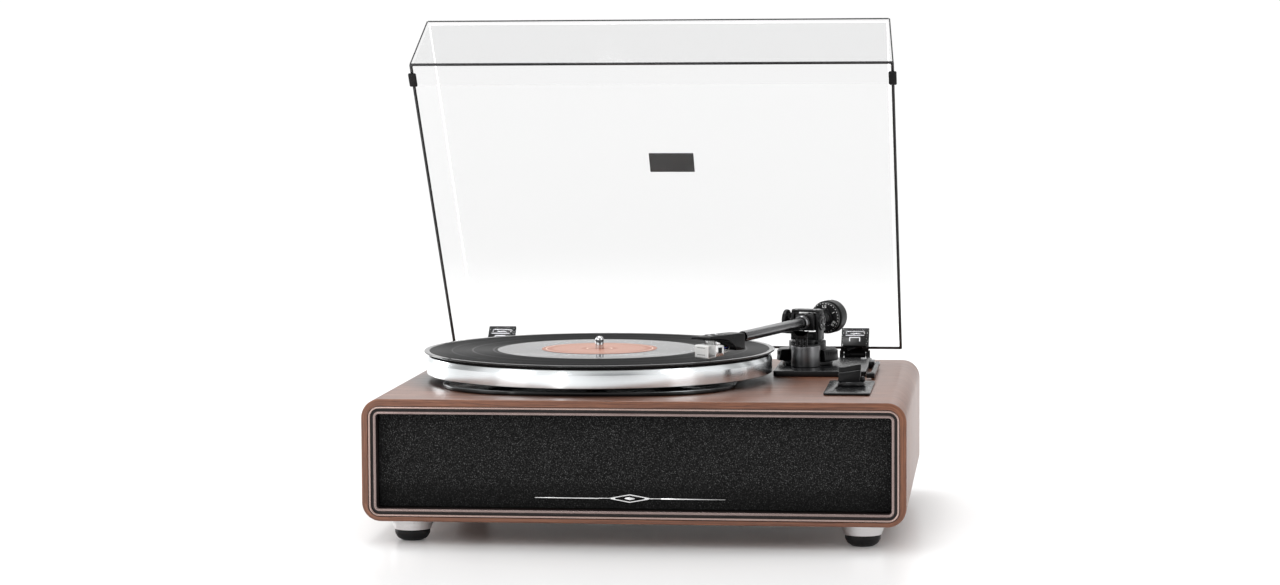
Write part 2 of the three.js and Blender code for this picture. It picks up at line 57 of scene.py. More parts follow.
# ------------------------------------------------------------------ camera, light, floor
def look(cam):
    yaw, pitch, roll = rad(6.99), rad(4.13), rad(-0.31)
    f = Vector((-math.sin(yaw) * math.cos(pitch), math.cos(yaw) * math.cos(pitch), -math.sin(pitch)))
    r = Vector((math.cos(yaw), math.sin(yaw), 0))
    u = r.cross(f)
    r2 = math.cos(roll) * r + math.sin(roll) * u
    u2 = -math.sin(roll) * r + math.cos(roll) * u
    m = Matrix((r2, u2, -f)).transposed().to_4x4()
    m.translation = G @ Vector((305.32, -2705.74, 404.45))
    cam.matrix_world = m


cam_data = bpy.data.cameras.new("camera")
cam = bpy.data.objects.new("camera", cam_data)
bpy.context.scene.collection.objects.link(cam)
cam_data.sensor_width = 36
cam_data.lens = 3187.59 / 1280 * 36
cam_data.shift_x, cam_data.shift_y = 15.91 / 1280, -17.23 / 1280
cam_data.clip_start, cam_data.clip_end = 0.05, 60
look(cam)
bpy.context.scene.camera = cam
bpy.context.scene.view_settings.view_transform = "Standard"
bpy.context.scene.view_settings.look = "None"


def area(name, loc, target, size, power, size_y=None, color=(1, 1, 1)):
    d = bpy.data.lights.new(name, "AREA")
    d.shape = "RECTANGLE"
    d.size, d.size_y = size, size_y or size
    d.energy, d.color = power, color
    o = bpy.data.objects.new(name, d)
    bpy.context.scene.collection.objects.link(o)
    o.location = loc
    o.rotation_euler = (Vector(target) - Vector(loc)).to_track_quat("-Z", "Y").to_euler()
    return o


area("key_top", (-0.3, 0.2, 2.4), (0, 0, 0.1), 1.0, 20, 0.8)
area("strip_front", (-0.8, -2.3, 0.75), (0.1, 0, 0.12), 0.22, 3.5, 1.4)
area("side_right", (2.2, -1.2, 1.0), (0, 0, 0.1), 0.8, 7, 1.8)
area("side_left", (-2.0, -1.6, 0.9), (0, 0, 0.1), 1.0, 6, 1.7)
area("back_fill", (0.2, 2.4, 1.6), (0, 0, 0.2), 2.4, 8, 1.0)
area("back_left", (-2.2, 1.5, 0.62), (-0.1, 0, 0.14), 0.8, 9, 0.7)

world = bpy.data.worlds.new("studio")
bpy.context.scene.world = world
world.use_nodes = True
wn = world.node_tree
wn.nodes.clear()
w_out = wn.nodes.new("ShaderNodeOutputWorld")
w_bg = wn.nodes.new("ShaderNodeBackground")
w_cam = wn.nodes.new("ShaderNodeBackground")
w_mix = wn.nodes.new("ShaderNodeMixShader")
w_lp = wn.nodes.new("ShaderNodeLightPath")
w_tc = wn.nodes.new("ShaderNodeTexCoord")
w_sep = wn.nodes.new("ShaderNodeSeparateXYZ")
w_at = wn.nodes.new("ShaderNodeMath"); w_at.operation = "ARCTAN2"
w_map = wn.nodes.new("ShaderNodeMapRange")
w_ramp = wn.nodes.new("ShaderNodeValToRGB")
w_hgt = wn.nodes.new("ShaderNodeMapRange")
w_lift = wn.nodes.new("ShaderNodeMixRGB")
wn.links.new(w_tc.outputs["Generated"], w_sep.inputs[0])
wn.links.new(w_sep.outputs["X"], w_at.inputs[0])          # azimuth from +Y towards +X
wn.links.new(w_sep.outputs["Y"], w_at.inputs[1])
wn.links.new(w_at.outputs[0], w_map.inputs["Value"])
w_map.inputs["From Min"].default_value = -math.pi
w_map.inputs["From Max"].default_value = math.pi
wn.links.new(w_map.outputs[0], w_ramp.inputs[0])
# 0 and 1 are straight ahead of the cabinet (-Y), 0.25 is its left, 0.5 behind it, 0.75 its right
ramp = w_ramp.color_ramp
ramp.interpolation = "LINEAR"
stops = [(0.0, 0.5), (0.03, 0.78), (0.06, 1.05), (0.16, 1.05), (0.215, 0.95), (0.24, 0.55), (0.27, 0.38), (0.30, 0.45), (0.325, 0.9), (0.36, 1.0), (0.5, 1.0), (0.56, 0.85),
         (0.585, 0.25), (0.605, 0.8), (0.625, 0.9), (0.635, 0.35), (0.65, 0.3), (0.66, 0.85), (0.675, 0.45), (0.70, 0.5), (0.715, 0.85), (0.75, 1.0), (0.83, 1.05), (0.865, 0.98), (0.90, 0.5), (0.925, 0.16), (0.965, 0.14), (0.99, 0.34)]
ramp.elements[0].position, ramp.elements[0].color = stops[0][0], (stops[0][1],) * 3 + (1,)
ramp.elements[1].position, ramp.elements[1].color = stops[-1][0], (stops[-1][1],) * 3 + (1,)
for p, v in stops[1:-1]:
    e = ramp.elements.new(p)
    e.color = (v, v, v, 1)
wn.links.new(w_sep.outputs["Z"], w_hgt.inputs["Value"])
w_hgt.inputs["From Min"].default_value = 0.45
w_hgt.inputs["From Max"].default_value = 0.8
wn.links.new(w_hgt.outputs[0], w_lift.inputs[0])
wn.links.new(w_ramp.outputs[0], w_lift.inputs[1])
w_lift.inputs[2].default_value = (0.92, 0.92, 0.92, 1)
wn.links.new(w_lift.outputs[0], w_bg.inputs[0])
w_bg.inputs[1].default_value = 0.95
w_cam.inputs[0].default_value = (1, 1, 1, 1)
w_cam.inputs[1].default_value = 1.02
wn.links.new(w_lp.outputs["Is Camera Ray"], w_mix.inputs[0])
wn.links.new(w_bg.outputs[0], w_mix.inputs[1])
wn.links.new(w_cam.outputs[0], w_mix.inputs[2])
wn.links.new(w_mix.outputs[0], w_out.inputs[0])


# ------------------------------------------------------------------ materials
class Mat:
    """A Principled material with small helpers for procedural detail."""

    def __init__(self, name, color=(0.5, 0.5, 0.5), rough=0.4, metal=0.0, spec=0.5, **k):
        self.m = bpy.data.materials.new(name)
        self.m.use_nodes = True
        self.nt = self.m.node_tree
        self.b = self.nt.nodes["Principled BSDF"]
        self.b.inputs["Base Color"].default_value = (*color, 1)
        self.b.inputs["Roughness"].default_value = rough
        self.b.inputs["Metallic"].default_value = metal
        self.b.inputs["Specular IOR Level"].default_value = spec
        for key, v in k.items():
            self.b.inputs[key.replace("_", " ")].default_value = v
        self.tc = self.nt.nodes.new("ShaderNodeTexCoord")

    def node(self, kind, **k):
        n = self.nt.nodes.new(kind)
        for a, v in k.items():
            setattr(n, a, v)
        return n

    def link(self, a, b):
        self.nt.links.new(a, b)
        return b

    def coords(self, scale=(1, 1, 1), kind="Object", loc=(0, 0, 0), rot=(0, 0, 0)):
        n = self.node("ShaderNodeMapping")
        n.inputs["Scale"].default_value = scale
        n.inputs["Location"].default_value = loc
        n.inputs["Rotation"].default_value = rot
        self.link(self.tc.outputs[kind], n.inputs["Vector"])
        return n.outputs[0]

    def noise(self, vec, scale=1.0, detail=4.0, rough=0.55, dist=0.0, out="Fac"):
        n = self.node("ShaderNodeTexNoise")
        n.inputs["Scale"].default_value = scale
        n.inputs["Detail"].default_value = detail
        n.inputs["Roughness"].default_value = rough
        n.inputs["Distortion"].default_value = dist
        self.link(vec, n.inputs["Vector"])
        return n.outputs[out]

    def voronoi(self, vec, scale=1.0, feature="F1", out="Distance", rand=1.0):
        n = self.node("ShaderNodeTexVoronoi", feature=feature)
        n.inputs["Scale"].default_value = scale
        n.inputs["Randomness"].default_value = rand
        self.link(vec, n.inputs["Vector"])
        return n.outputs[out]

    def ramp(self, fac, stops, interp="LINEAR"):
        n = self.node("ShaderNodeValToRGB")
        n.color_ramp.interpolation = interp
        els = n.color_ramp.elements
        els[0].position, els[1].position = stops[0][0], stops[-1][0]
        els[0].color = self._c(stops[0][1])
        els[1].color = self._c(stops[-1][1])
        for p, c in stops[1:-1]:
            els.new(p).color = self._c(c)
        self.link(fac, n.inputs[0])
        return n.outputs[0]

    @staticmethod
    def _c(c):
        return (c, c, c, 1) if isinstance(c, (int, float)) else (*c, 1)

    def rng(self, fac, a, b, lo, hi):
        n = self.node("ShaderNodeMapRange")
        for key, v in (("From Min", a), ("From Max", b), ("To Min", lo), ("To Max", hi)):
            n.inputs[key].default_value = v
        self.link(fac, n.inputs["Value"])
        return n.outputs[0]

    def mix(self, fac, a, b, mode="MIX"):
        n = self.node("ShaderNodeMixRGB", blend_type=mode)
        for s, v in ((0, fac), (1, a), (2, b)):
            if isinstance(v, (int, float)):
                n.inputs[s].default_value = v if s == 0 else self._c(v)
            elif isinstance(v, tuple):
                n.inputs[s].default_value = (*v, 1)
            else:
                self.link(v, n.inputs[s])
        return n.outputs[0]

    def math(self, op, a, b=None, c=None):
        n = self.node("ShaderNodeMath", operation=op)
        for s, v in ((0, a), (1, b), (2, c)):
            if v is None:
                continue
            if isinstance(v, (int, float)):
                n.inputs[s].default_value = v
            else:
                self.link(v, n.inputs[s])
        return n.outputs[0]

    def radius(self, x, y):
        """distance in metres from the upright axis through x, y (metres)"""
        n = self.node("ShaderNodeMapping")
        n.inputs["Location"].default_value = (-x, -y, 0)
        self.link(self.tc.outputs["Object"], n.inputs["Vector"])
        s = self.node("ShaderNodeSeparateXYZ")
        self.link(n.outputs[0], s.inputs[0])
        q = self.math("ADD", self.math("MULTIPLY", s.outputs[0], s.outputs[0]), self.math("MULTIPLY", s.outputs[1], s.outputs[1]))
        return self.math("SQRT", q), s, n.outputs[0]

    def color(self, sock):
        self.link(sock, self.b.inputs["Base Color"])

    def rough(self, sock):
        self.link(sock, self.b.inputs["Roughness"])

    def bump(self, height, strength=0.3, dist=0.0002, chain=None):
        n = self.node("ShaderNodeBump")
        n.inputs["Strength"].default_value = strength
        n.inputs["Distance"].default_value = dist
        self.link(height, n.inputs["Height"])
        if chain is not None:
            self.link(chain, n.inputs["Normal"])
        self.link(n.outputs[0], self.b.inputs["Normal"])
        return n.outputs[0]


def srgb(r, g, b):
    f = lambda v: ((v / 255 + 0.055) / 1.055) ** 2.4 if v > 10 else v / 255 / 12.92
    return (f(r), f(g), f(b))


def make_wood():
    t = Mat("walnut_veneer", srgb(120, 76, 58), 0.36, spec=0.5)
    uv = t.coords((1, 1, 1), "UV")
    warp = t.noise(t.coords((2.2, 14, 1), "UV"), 1.0, 3, 0.5, 0.3, "Color")
    add = t.node("ShaderNodeMixRGB", blend_type="ADD")
    add.inputs[0].default_value = 0.012
    t.link(uv, add.inputs[1]); t.link(warp, add.inputs[2])
    def stretched(su, sv):
        n = t.node("ShaderNodeMapping")
        n.inputs["Scale"].default_value = (su, sv, 1)
        t.link(add.outputs[0], n.inputs["Vector"])
        return n.outputs[0]
    figure = t.noise(stretched(5, 60), 1, 5, 0.6, 0.6)
    grain = t.noise(stretched(16, 620), 1, 6, 0.65, 0.15)
    pores = t.noise(stretched(70, 2600), 1, 3, 0.6)
    base = t.ramp(figure, [(0.26, srgb(86, 48, 32)), (0.46, srgb(118, 71, 48)), (0.60, srgb(138, 87, 60)), (0.8, srgb(102, 60, 41))])
    dark = t.ramp(grain, [(0.34, srgb(50, 25, 16)), (0.50, srgb(120, 73, 50)), (0.7, srgb(162, 108, 78))])
    c = t.mix(0.55, base, dark)
    pm = t.ramp(pores, [(0.36, 0.32), (0.47, 1.0)])
    c = t.mix(0.75, c, pm, "MULTIPLY")
    # painted shadow: the top face is darkened towards the platter's edge and beneath it, standing in for the shade the
    # platter casts; faces below the top are left unshaded
    r, sp, v = t.radius(SPX / 1000, (SPYY - SY) / 1000)
    shade_off_below_top = t.rng(sp.outputs[2], 0.110, 0.1185, 1.0, 0.0)
    near = t.rng(r, 0.149, 0.180, 0.16, 1.0)
    c = t.mix(1.0, c, t.math("MAXIMUM", near, shade_off_below_top), "MULTIPLY")
    t.color(c)
    t.rough(t.rng(grain, 0.3, 0.7, 0.42, 0.30))
    t.bump(t.mix(0.5, grain, pores), 0.25, 0.00012)
    t.b.inputs["Coat Weight"].default_value = 0.18
    t.b.inputs["Coat Roughness"].default_value = 0.22
    return t.m


def make_bronze(name, lo, hi, rough=0.2, metal=0.75):
    t = Mat(name, hi, rough, metal)
    t.color(t.mix(t.noise(t.coords(), 30, 4), lo, hi))
    t.rough(t.rng(t.noise(t.coords(), 40, 5), 0.3, 0.7, rough - 0.03, rough + 0.05))
    t.bump(t.noise(t.coords(), 2500, 2), 0.02, 0.00003)
    return t.m


def make_cloth():
    t = Mat("speaker_cloth", (0.02, 0.02, 0.02), 0.9, spec=0.25)
    v = t.coords()
    cell = t.voronoi(v, 950, "F1", "Distance")
    fine = t.noise(v, 1500, 3, 0.6)
    tone = t.noise(v, 700, 2, 0.6)
    mixd = t.math("MULTIPLY", t.math("SUBTRACT", 1.0, cell), t.rng(tone, 0.3, 0.7, 0.42, 0.62))
    fleck = t.ramp(t.math("MULTIPLY_ADD", fine, 0.5, mixd), [(0.40, 0.0012), (0.54, 0.010), (0.66, 0.036), (0.80, 0.16)])
    # painted shade: the cloth is darkened below about 48 mm height
    s = t.node("ShaderNodeSeparateXYZ")
    t.link(t.tc.outputs["Object"], s.inputs[0])
    painted_low_shade = t.rng(s.outputs[2], 0.043, 0.053, 0.45, 1.0)
    t.color(t.mix(1.0, fleck, painted_low_shade, "MULTIPLY"))
    t.bump(mixd, 0.9, 0.0004)
    return t.m


def make_metal(name, color, rough, scale=400, aniso=0.0, spread=0.06, stretch=(1, 1, 1), bump=0.02):
    t = Mat(name, color, rough, 1.0)
    n = t.noise(t.coords(stretch), scale, 4, 0.6)
    t.rough(t.rng(n, 0.3, 0.7, rough - spread, rough + spread))
    t.color(t.mix(n, tuple(c * 0.93 for c in color), tuple(min(1, c * 1.04) for c in color)))
    if bump:
        t.bump(n, bump, 0.00005)
    if aniso:
        t.b.inputs["Anisotropic"].default_value = aniso
    return t.m


def make_plastic(name, color, rough, scale=1800, bump=0.12, spread=0.07, spec=0.5, metal=0.0, coat=0.0):
    t = Mat(name, color, rough, metal, spec)
    n = t.noise(t.coords(), scale, 3, 0.6)
    big = t.noise(t.coords(), 35, 4, 0.6)
    t.rough(t.rng(big, 0.3, 0.7, rough - spread, rough + spread))
    t.color(t.mix(n, tuple(c * 0.8 for c in color), tuple(min(1, c * 1.2) for c in color)))
    t.bump(n, bump, 0.00008)
    if coat:
        t.b.inputs["Coat Weight"].default_value = coat
        t.b.inputs["Coat Roughness"].default_value = 0.08
    return t.m


def make_turned(name, color, rough, cx, cy, lines=2600):
    """turned metal: fine circular marks about an upright axis"""
    t = Mat(name, color, rough, 1.0)
    r, s, v = t.radius(cx, cy)
    mark = t.node("ShaderNodeTexNoise", noise_dimensions="1D")
    mark.inputs["Scale"].default_value = lines
    mark.inputs["Detail"].default_value = 3
    t.link(t.math("ADD", r, t.math("MULTIPLY", s.outputs[2], 1.0)), mark.inputs["W"])
    t.rough(t.rng(mark.outputs["Fac"], 0.3, 0.7, rough - 0.05, rough + 0.07))
    t.color(t.mix(mark.outputs["Fac"], tuple(c * 0.96 for c in color), tuple(min(1, c * 1.03) for c in color)))
    t.bump(mark.outputs["Fac"], 0.03, 0.00002)
    radial(t, 0.75, 0.25)
    return t.m


def radial(t, aniso, turn):
    """stretches highlights across marks that run round an upright axis"""
    g = t.node("ShaderNodeTangent", direction_type="RADIAL", axis="Z")
    t.link(g.outputs[0], t.b.inputs["Tangent"])
    t.b.inputs["Anisotropic"].default_value = aniso
    t.b.inputs["Anisotropic Rotation"].default_value = turn


def make_record(cx, cy):
    t = Mat("record_vinyl_smooth", (0.018, 0.018, 0.019), 0.07, spec=0.5)
    r, s, v = t.radius(cx, cy)
    n = t.noise(t.coords(), 50, 4)
    t.rough(t.rng(n, 0.3, 0.7, 0.05, 0.10))
    t.color(t.mix(n, (0.016, 0.016, 0.017), (0.022, 0.022, 0.023)))
    return t.m


def make_grooves(cx, cy):
    t = Mat("record_vinyl_grooves", (0.0045, 0.0045, 0.005), 0.4, spec=0.012)
    r, s, v = t.radius(cx, cy)
    n = t.node("ShaderNodeTexNoise", noise_dimensions="1D")
    n.inputs["Scale"].default_value = 4200
    n.inputs["Detail"].default_value = 2
    t.link(r, n.inputs["W"])
    # smoother bands part the tracks
    x = t.math("MULTIPLY", r, 5.0)
    part = t.ramp(x, [(0.28, 0), (0.3640, 0), (0.3650, 1), (0.3690, 1), (0.3700, 0), (0.4520, 0), (0.4530, 1), (0.4570, 1), (0.4580, 0), (0.5420, 0), (0.5430, 1), (0.5470, 1), (0.5480, 0),
                      (0.6310, 0), (0.6320, 1), (0.6360, 1), (0.6370, 0), (0.74, 0)])
    loud = t.noise(t.coords((0.02, 0.02, 0.02)), 1, 1)
    t.rough(t.mix(part, t.rng(n.outputs["Fac"], 0.3, 0.7, 0.36, 0.46), 0.30))
    t.color(t.mix(part, t.mix(n.outputs["Fac"], (0.004, 0.004, 0.0045), (0.009, 0.009, 0.0095)), (0.013, 0.013, 0.014)))
    t.bump(n.outputs["Fac"], 0.12, 0.00004)
    radial(t, 0.8, 0.25)
    return t.m


def make_label(cx, cy):
    t = Mat("label_paper", srgb(196, 92, 58), 0.3, spec=0.22)
    r, s, v = t.radius(cx, cy)
    fibre = t.noise(t.coords(), 900, 4)
    base = t.mix(fibre, srgb(160, 80, 42), srgb(188, 102, 58))
    # plain printed rings and a block of soft waves, no lettering
    ring = t.ramp(t.math("MULTIPLY", r, 20.0), [(0.0, 0), (0.20, 0), (0.205, 1), (0.225, 1), (0.23, 0), (0.40, 0), (0.905, 0), (0.91, 1), (0.925, 1), (0.93, 0), (1.0, 0)])
    wv = t.node("ShaderNodeTexWave", wave_type="BANDS", bands_direction="Y")
    wv.inputs["Scale"].default_value = 95
    wv.inputs["Distortion"].default_value = 5.5
    wv.inputs["Detail"].default_value = 1
    wv.inputs["Detail Scale"].default_value = 0.8
    t.link(v, wv.inputs["Vector"])
    waves = t.ramp(wv.outputs["Fac"], [(0.78, 0), (0.88, 1)])
    zone = t.ramp(t.math("MULTIPLY", r, 20.0), [(0.30, 0), (0.34, 1), (0.78, 1), (0.82, 0)])
    c = t.mix(ring, base, srgb(240, 214, 196))
    c = t.mix(t.math("MULTIPLY", waves, t.math("MULTIPLY", zone, 0.85)), c, srgb(238, 205, 186))
    t.color(c)
    t.bump(fibre, 0.1, 0.00005)
    return t.m


def make_clear():
    t = Mat("clear_acrylic", (0.62, 0.64, 0.65), 0.04, spec=0.16)
    n = t.noise(t.coords(), 14, 4)
    t.rough(t.rng(n, 0.3, 0.7, 0.02, 0.06))
    t.color(t.mix(t.noise(t.coords(), 60, 3), (0.22, 0.225, 0.23), (0.28, 0.285, 0.29)))
    t.b.inputs["Alpha"].default_value = 0.068
    return t.m


def make_edge(name, lo, hi, alpha, rough=0.12, glow=0.0):
    t = Mat(name, hi, rough, spec=0.5)
    n = t.noise(t.coords((1, 1, 1)), 90, 4)
    t.color(t.mix(n, lo, hi))
    t.rough(t.rng(n, 0.3, 0.7, rough - 0.04, rough + 0.1))
    t.b.inputs["Alpha"].default_value = alpha
    # glow: emission for strips that stand in for highlights
    if glow:
        t.b.inputs["Emission Color"].default_value = (1, 1, 1, 1)
        t.b.inputs["Emission Strength"].default_value = glow
    return t.m


spx, spy = SPX / 1000, (SPYY - SY) / 1000
WOOD = make_wood()
# lit and shaded copies of one bronze: a lighter one for the outer ridge, a shaded one for the inner ridge, and a
# near-black painted shade for the groove
BRONZE_LIT = make_bronze("bronze_lacquer_lit", srgb(168, 144, 136), srgb(192, 168, 160), 0.17)
BRONZE_SHADED = make_bronze("bronze_inner_painted_shade", srgb(138, 120, 116), srgb(164, 146, 142), 0.2, 0.75)
BRONZE_GROOVE_SHADE = make_bronze("bronze_groove_painted_shade", srgb(22, 15, 14), srgb(30, 21, 19), 0.5, 0.1)
CLOTH = make_cloth()
# lighter metal whose lines stand in for highlights on the hinge's edges
HINGE_HIGHLIGHT = make_metal("hinge_painted_highlight", (0.26, 0.26, 0.27), 0.3, 900)
CHROME = make_metal("chrome_plate", (0.86, 0.86, 0.87), 0.09, 300, spread=0.04, bump=0.01)
STEEL = make_metal("brushed_steel", (0.55, 0.55, 0.56), 0.28, 900, stretch=(1, 1, 8))
SILVER = make_metal("emblem_silver", (0.82, 0.82, 0.82), 0.2, 900)
ALU_RIM = make_turned("polished_aluminium", (0.885, 0.915, 0.93), 0.17, spx, spy)
FOOT = make_metal("foot_ring_metal", (0.93, 0.93, 0.935), 0.13, 500, spread=0.03, bump=0.01)
SPIND = make_metal("spindle_metal", (0.66, 0.66, 0.67), 0.06, 500, spread=0.02, bump=0.01)
BRASS = make_metal("brass", (0.72, 0.52, 0.22), 0.25, 700)
RUBBER = make_plastic("rubber_black", (0.007, 0.007, 0.0075), 0.5, 1500, 0.15, 0.07, 0.25)
GLOSS = make_plastic("gloss_black", (0.004, 0.004, 0.0045), 0.12, 900, 0.01, 0.04, 0.4)
BLACK = make_plastic("satin_black_plastic", (0.006, 0.006, 0.0065), 0.30, 2600, 0.06, 0.05, 0.22)
BLACK_FINE = make_plastic("satin_black_metal", (0.008, 0.008, 0.0088), 0.24, 3000, 0.04, 0.04, 0.26, 0.0)
ARM = make_plastic("arm_black_lacquer", (0.15, 0.15, 0.154), 0.22, 3000, 0.02, 0.04, 0.34, 0.94)
COLUMN = make_plastic("column_anodised", (0.17, 0.17, 0.174), 0.3, 3000, 0.02, 0.03, 0.34, 0.95)
WEIGHT = make_plastic("weight_black", (0.008, 0.008, 0.0085), 0.40, 2600, 0.2, 0.05, 0.25, 0.0)
CART = make_plastic("cartridge_white", srgb(236, 236, 234), 0.32, 1800, 0.04)
CART_S = make_metal("cartridge_silver", (0.80, 0.80, 0.80), 0.26, 1200)
PRINT = make_plastic("print_white", srgb(244, 244, 242), 0.5, 1800, 0.03)
FELT = make_plastic("felt_black", (0.012, 0.012, 0.012), 0.95, 1200, 0.8, 0.03, 0.1)
VINYL = make_record(spx, spy)
GROOVES = make_grooves(spx, spy)
LABEL = make_label(spx, spy)
CLEAR = make_clear()
# painted dark for the lid's rim and corner lines, standing in for reflections in the clear acrylic
EDGE_PAINTED_DARK = make_edge("acrylic_edge_painted_dark", (0.010, 0.010, 0.011), (0.03, 0.03, 0.032), 0.93)
EDGE_SOFT = make_edge("acrylic_edge_soft", (0.03, 0.03, 0.032), (0.08, 0.08, 0.085), 0.75)
# glowing white strips: painted highlights along the lid's inner corners
EDGE_PAINTED_HIGHLIGHT = make_edge("acrylic_edge_painted_highlight", (0.92, 0.92, 0.92), (1.0, 1.0, 1.0), 0.7, 0.3, 1.0)
PANEL = make_plastic("rear_panel_black", (0.013, 0.013, 0.014), 0.55, 2200, 0.5)
BOARD = make_plastic("circuit_board", (0.02, 0.11, 0.04), 0.4, 500, 0.3)
MDF = make_plastic("baffle_board", (0.30, 0.20, 0.11), 0.8, 900, 0.4)
CONE = make_plastic("paper_cone", (0.02, 0.02, 0.021), 0.75, 1200, 0.5)
RED = make_plastic("socket_red", (0.45, 0.02, 0.02), 0.4)
GREY = make_plastic("badge_grey", srgb(78, 78, 78), 0.5, 2400, 0.05)


# ------------------------------------------------------------------ mesh kit (cabinet frame, mm)
def fillet(pts, r, n=4, closed=True):
    """rounds each corner of a 2-D outline; a corner may carry its own radius as a third number"""
    out, m = [], len(pts)
    for i in range(m):
        p = Vector(pts[i][:2])
        ri = pts[i][2] if len(pts[i]) > 2 else r
        if (not closed and i in (0, m - 1)) or ri <= 0:
            out.append((p.x, p.y)); continue
        a, b = Vector(pts[i - 1][:2]), Vector(pts[(i + 1) % m][:2])
        u, v = (a - p), (b - p)
        lu, lv = u.length, v.length
        if lu < 1e-9 or lv < 1e-9:
            continue
        u /= lu; v /= lv
        ang = math.acos(max(-1, min(1, u.dot(v))))
        if ang > math.pi - 0.02:
            out.append((p.x, p.y)); continue
        t = min(ri / math.tan(ang / 2), lu * 0.49, lv * 0.49)
        rr = t * math.tan(ang / 2)
        c = p + (u + v).normalized() * (rr / math.sin(ang / 2))
        s, e = p + u * t, p + v * t
        a0 = math.atan2(s.y - c.y, s.x - c.x); a1 = math.atan2(e.y - c.y, e.x - c.x)
        d = (a1 - a0 + math.pi) % (2 * math.pi) - math.pi
        for k in range(n + 1):
            w = a0 + d * k / n
            out.append((c.x + rr * math.cos(w), c.y + rr * math.sin(w)))
    return out


def area2(pts):
    return sum(pts[i - 1][0] * pts[i][1] - pts[i][0] * pts[i - 1][1] for i in range(len(pts))) / 2


def inset(pts, d):
    """moves a counter-clockwise outline inwards by d"""
    m, out = len(pts), []
    for i in range(m):
        a, p, b = Vector(pts[i - 1]), Vector(pts[i]), Vector(pts[(i + 1) % m])
        u, v = (p - a), (b - p)
        if u.length < 1e-9: u = v
        if v.length < 1e-9: v = u
        u.normalize(); v.normalize()
        n1, n2 = Vector((-u.y, u.x)), Vector((-v.y, v.x))
        k = n1 + n2
        if k.length < 1e-6: k = n1
        k.normalize()
        out.append(tuple(p + k * (d / max(0.35, k.dot(n1)))))
    return out


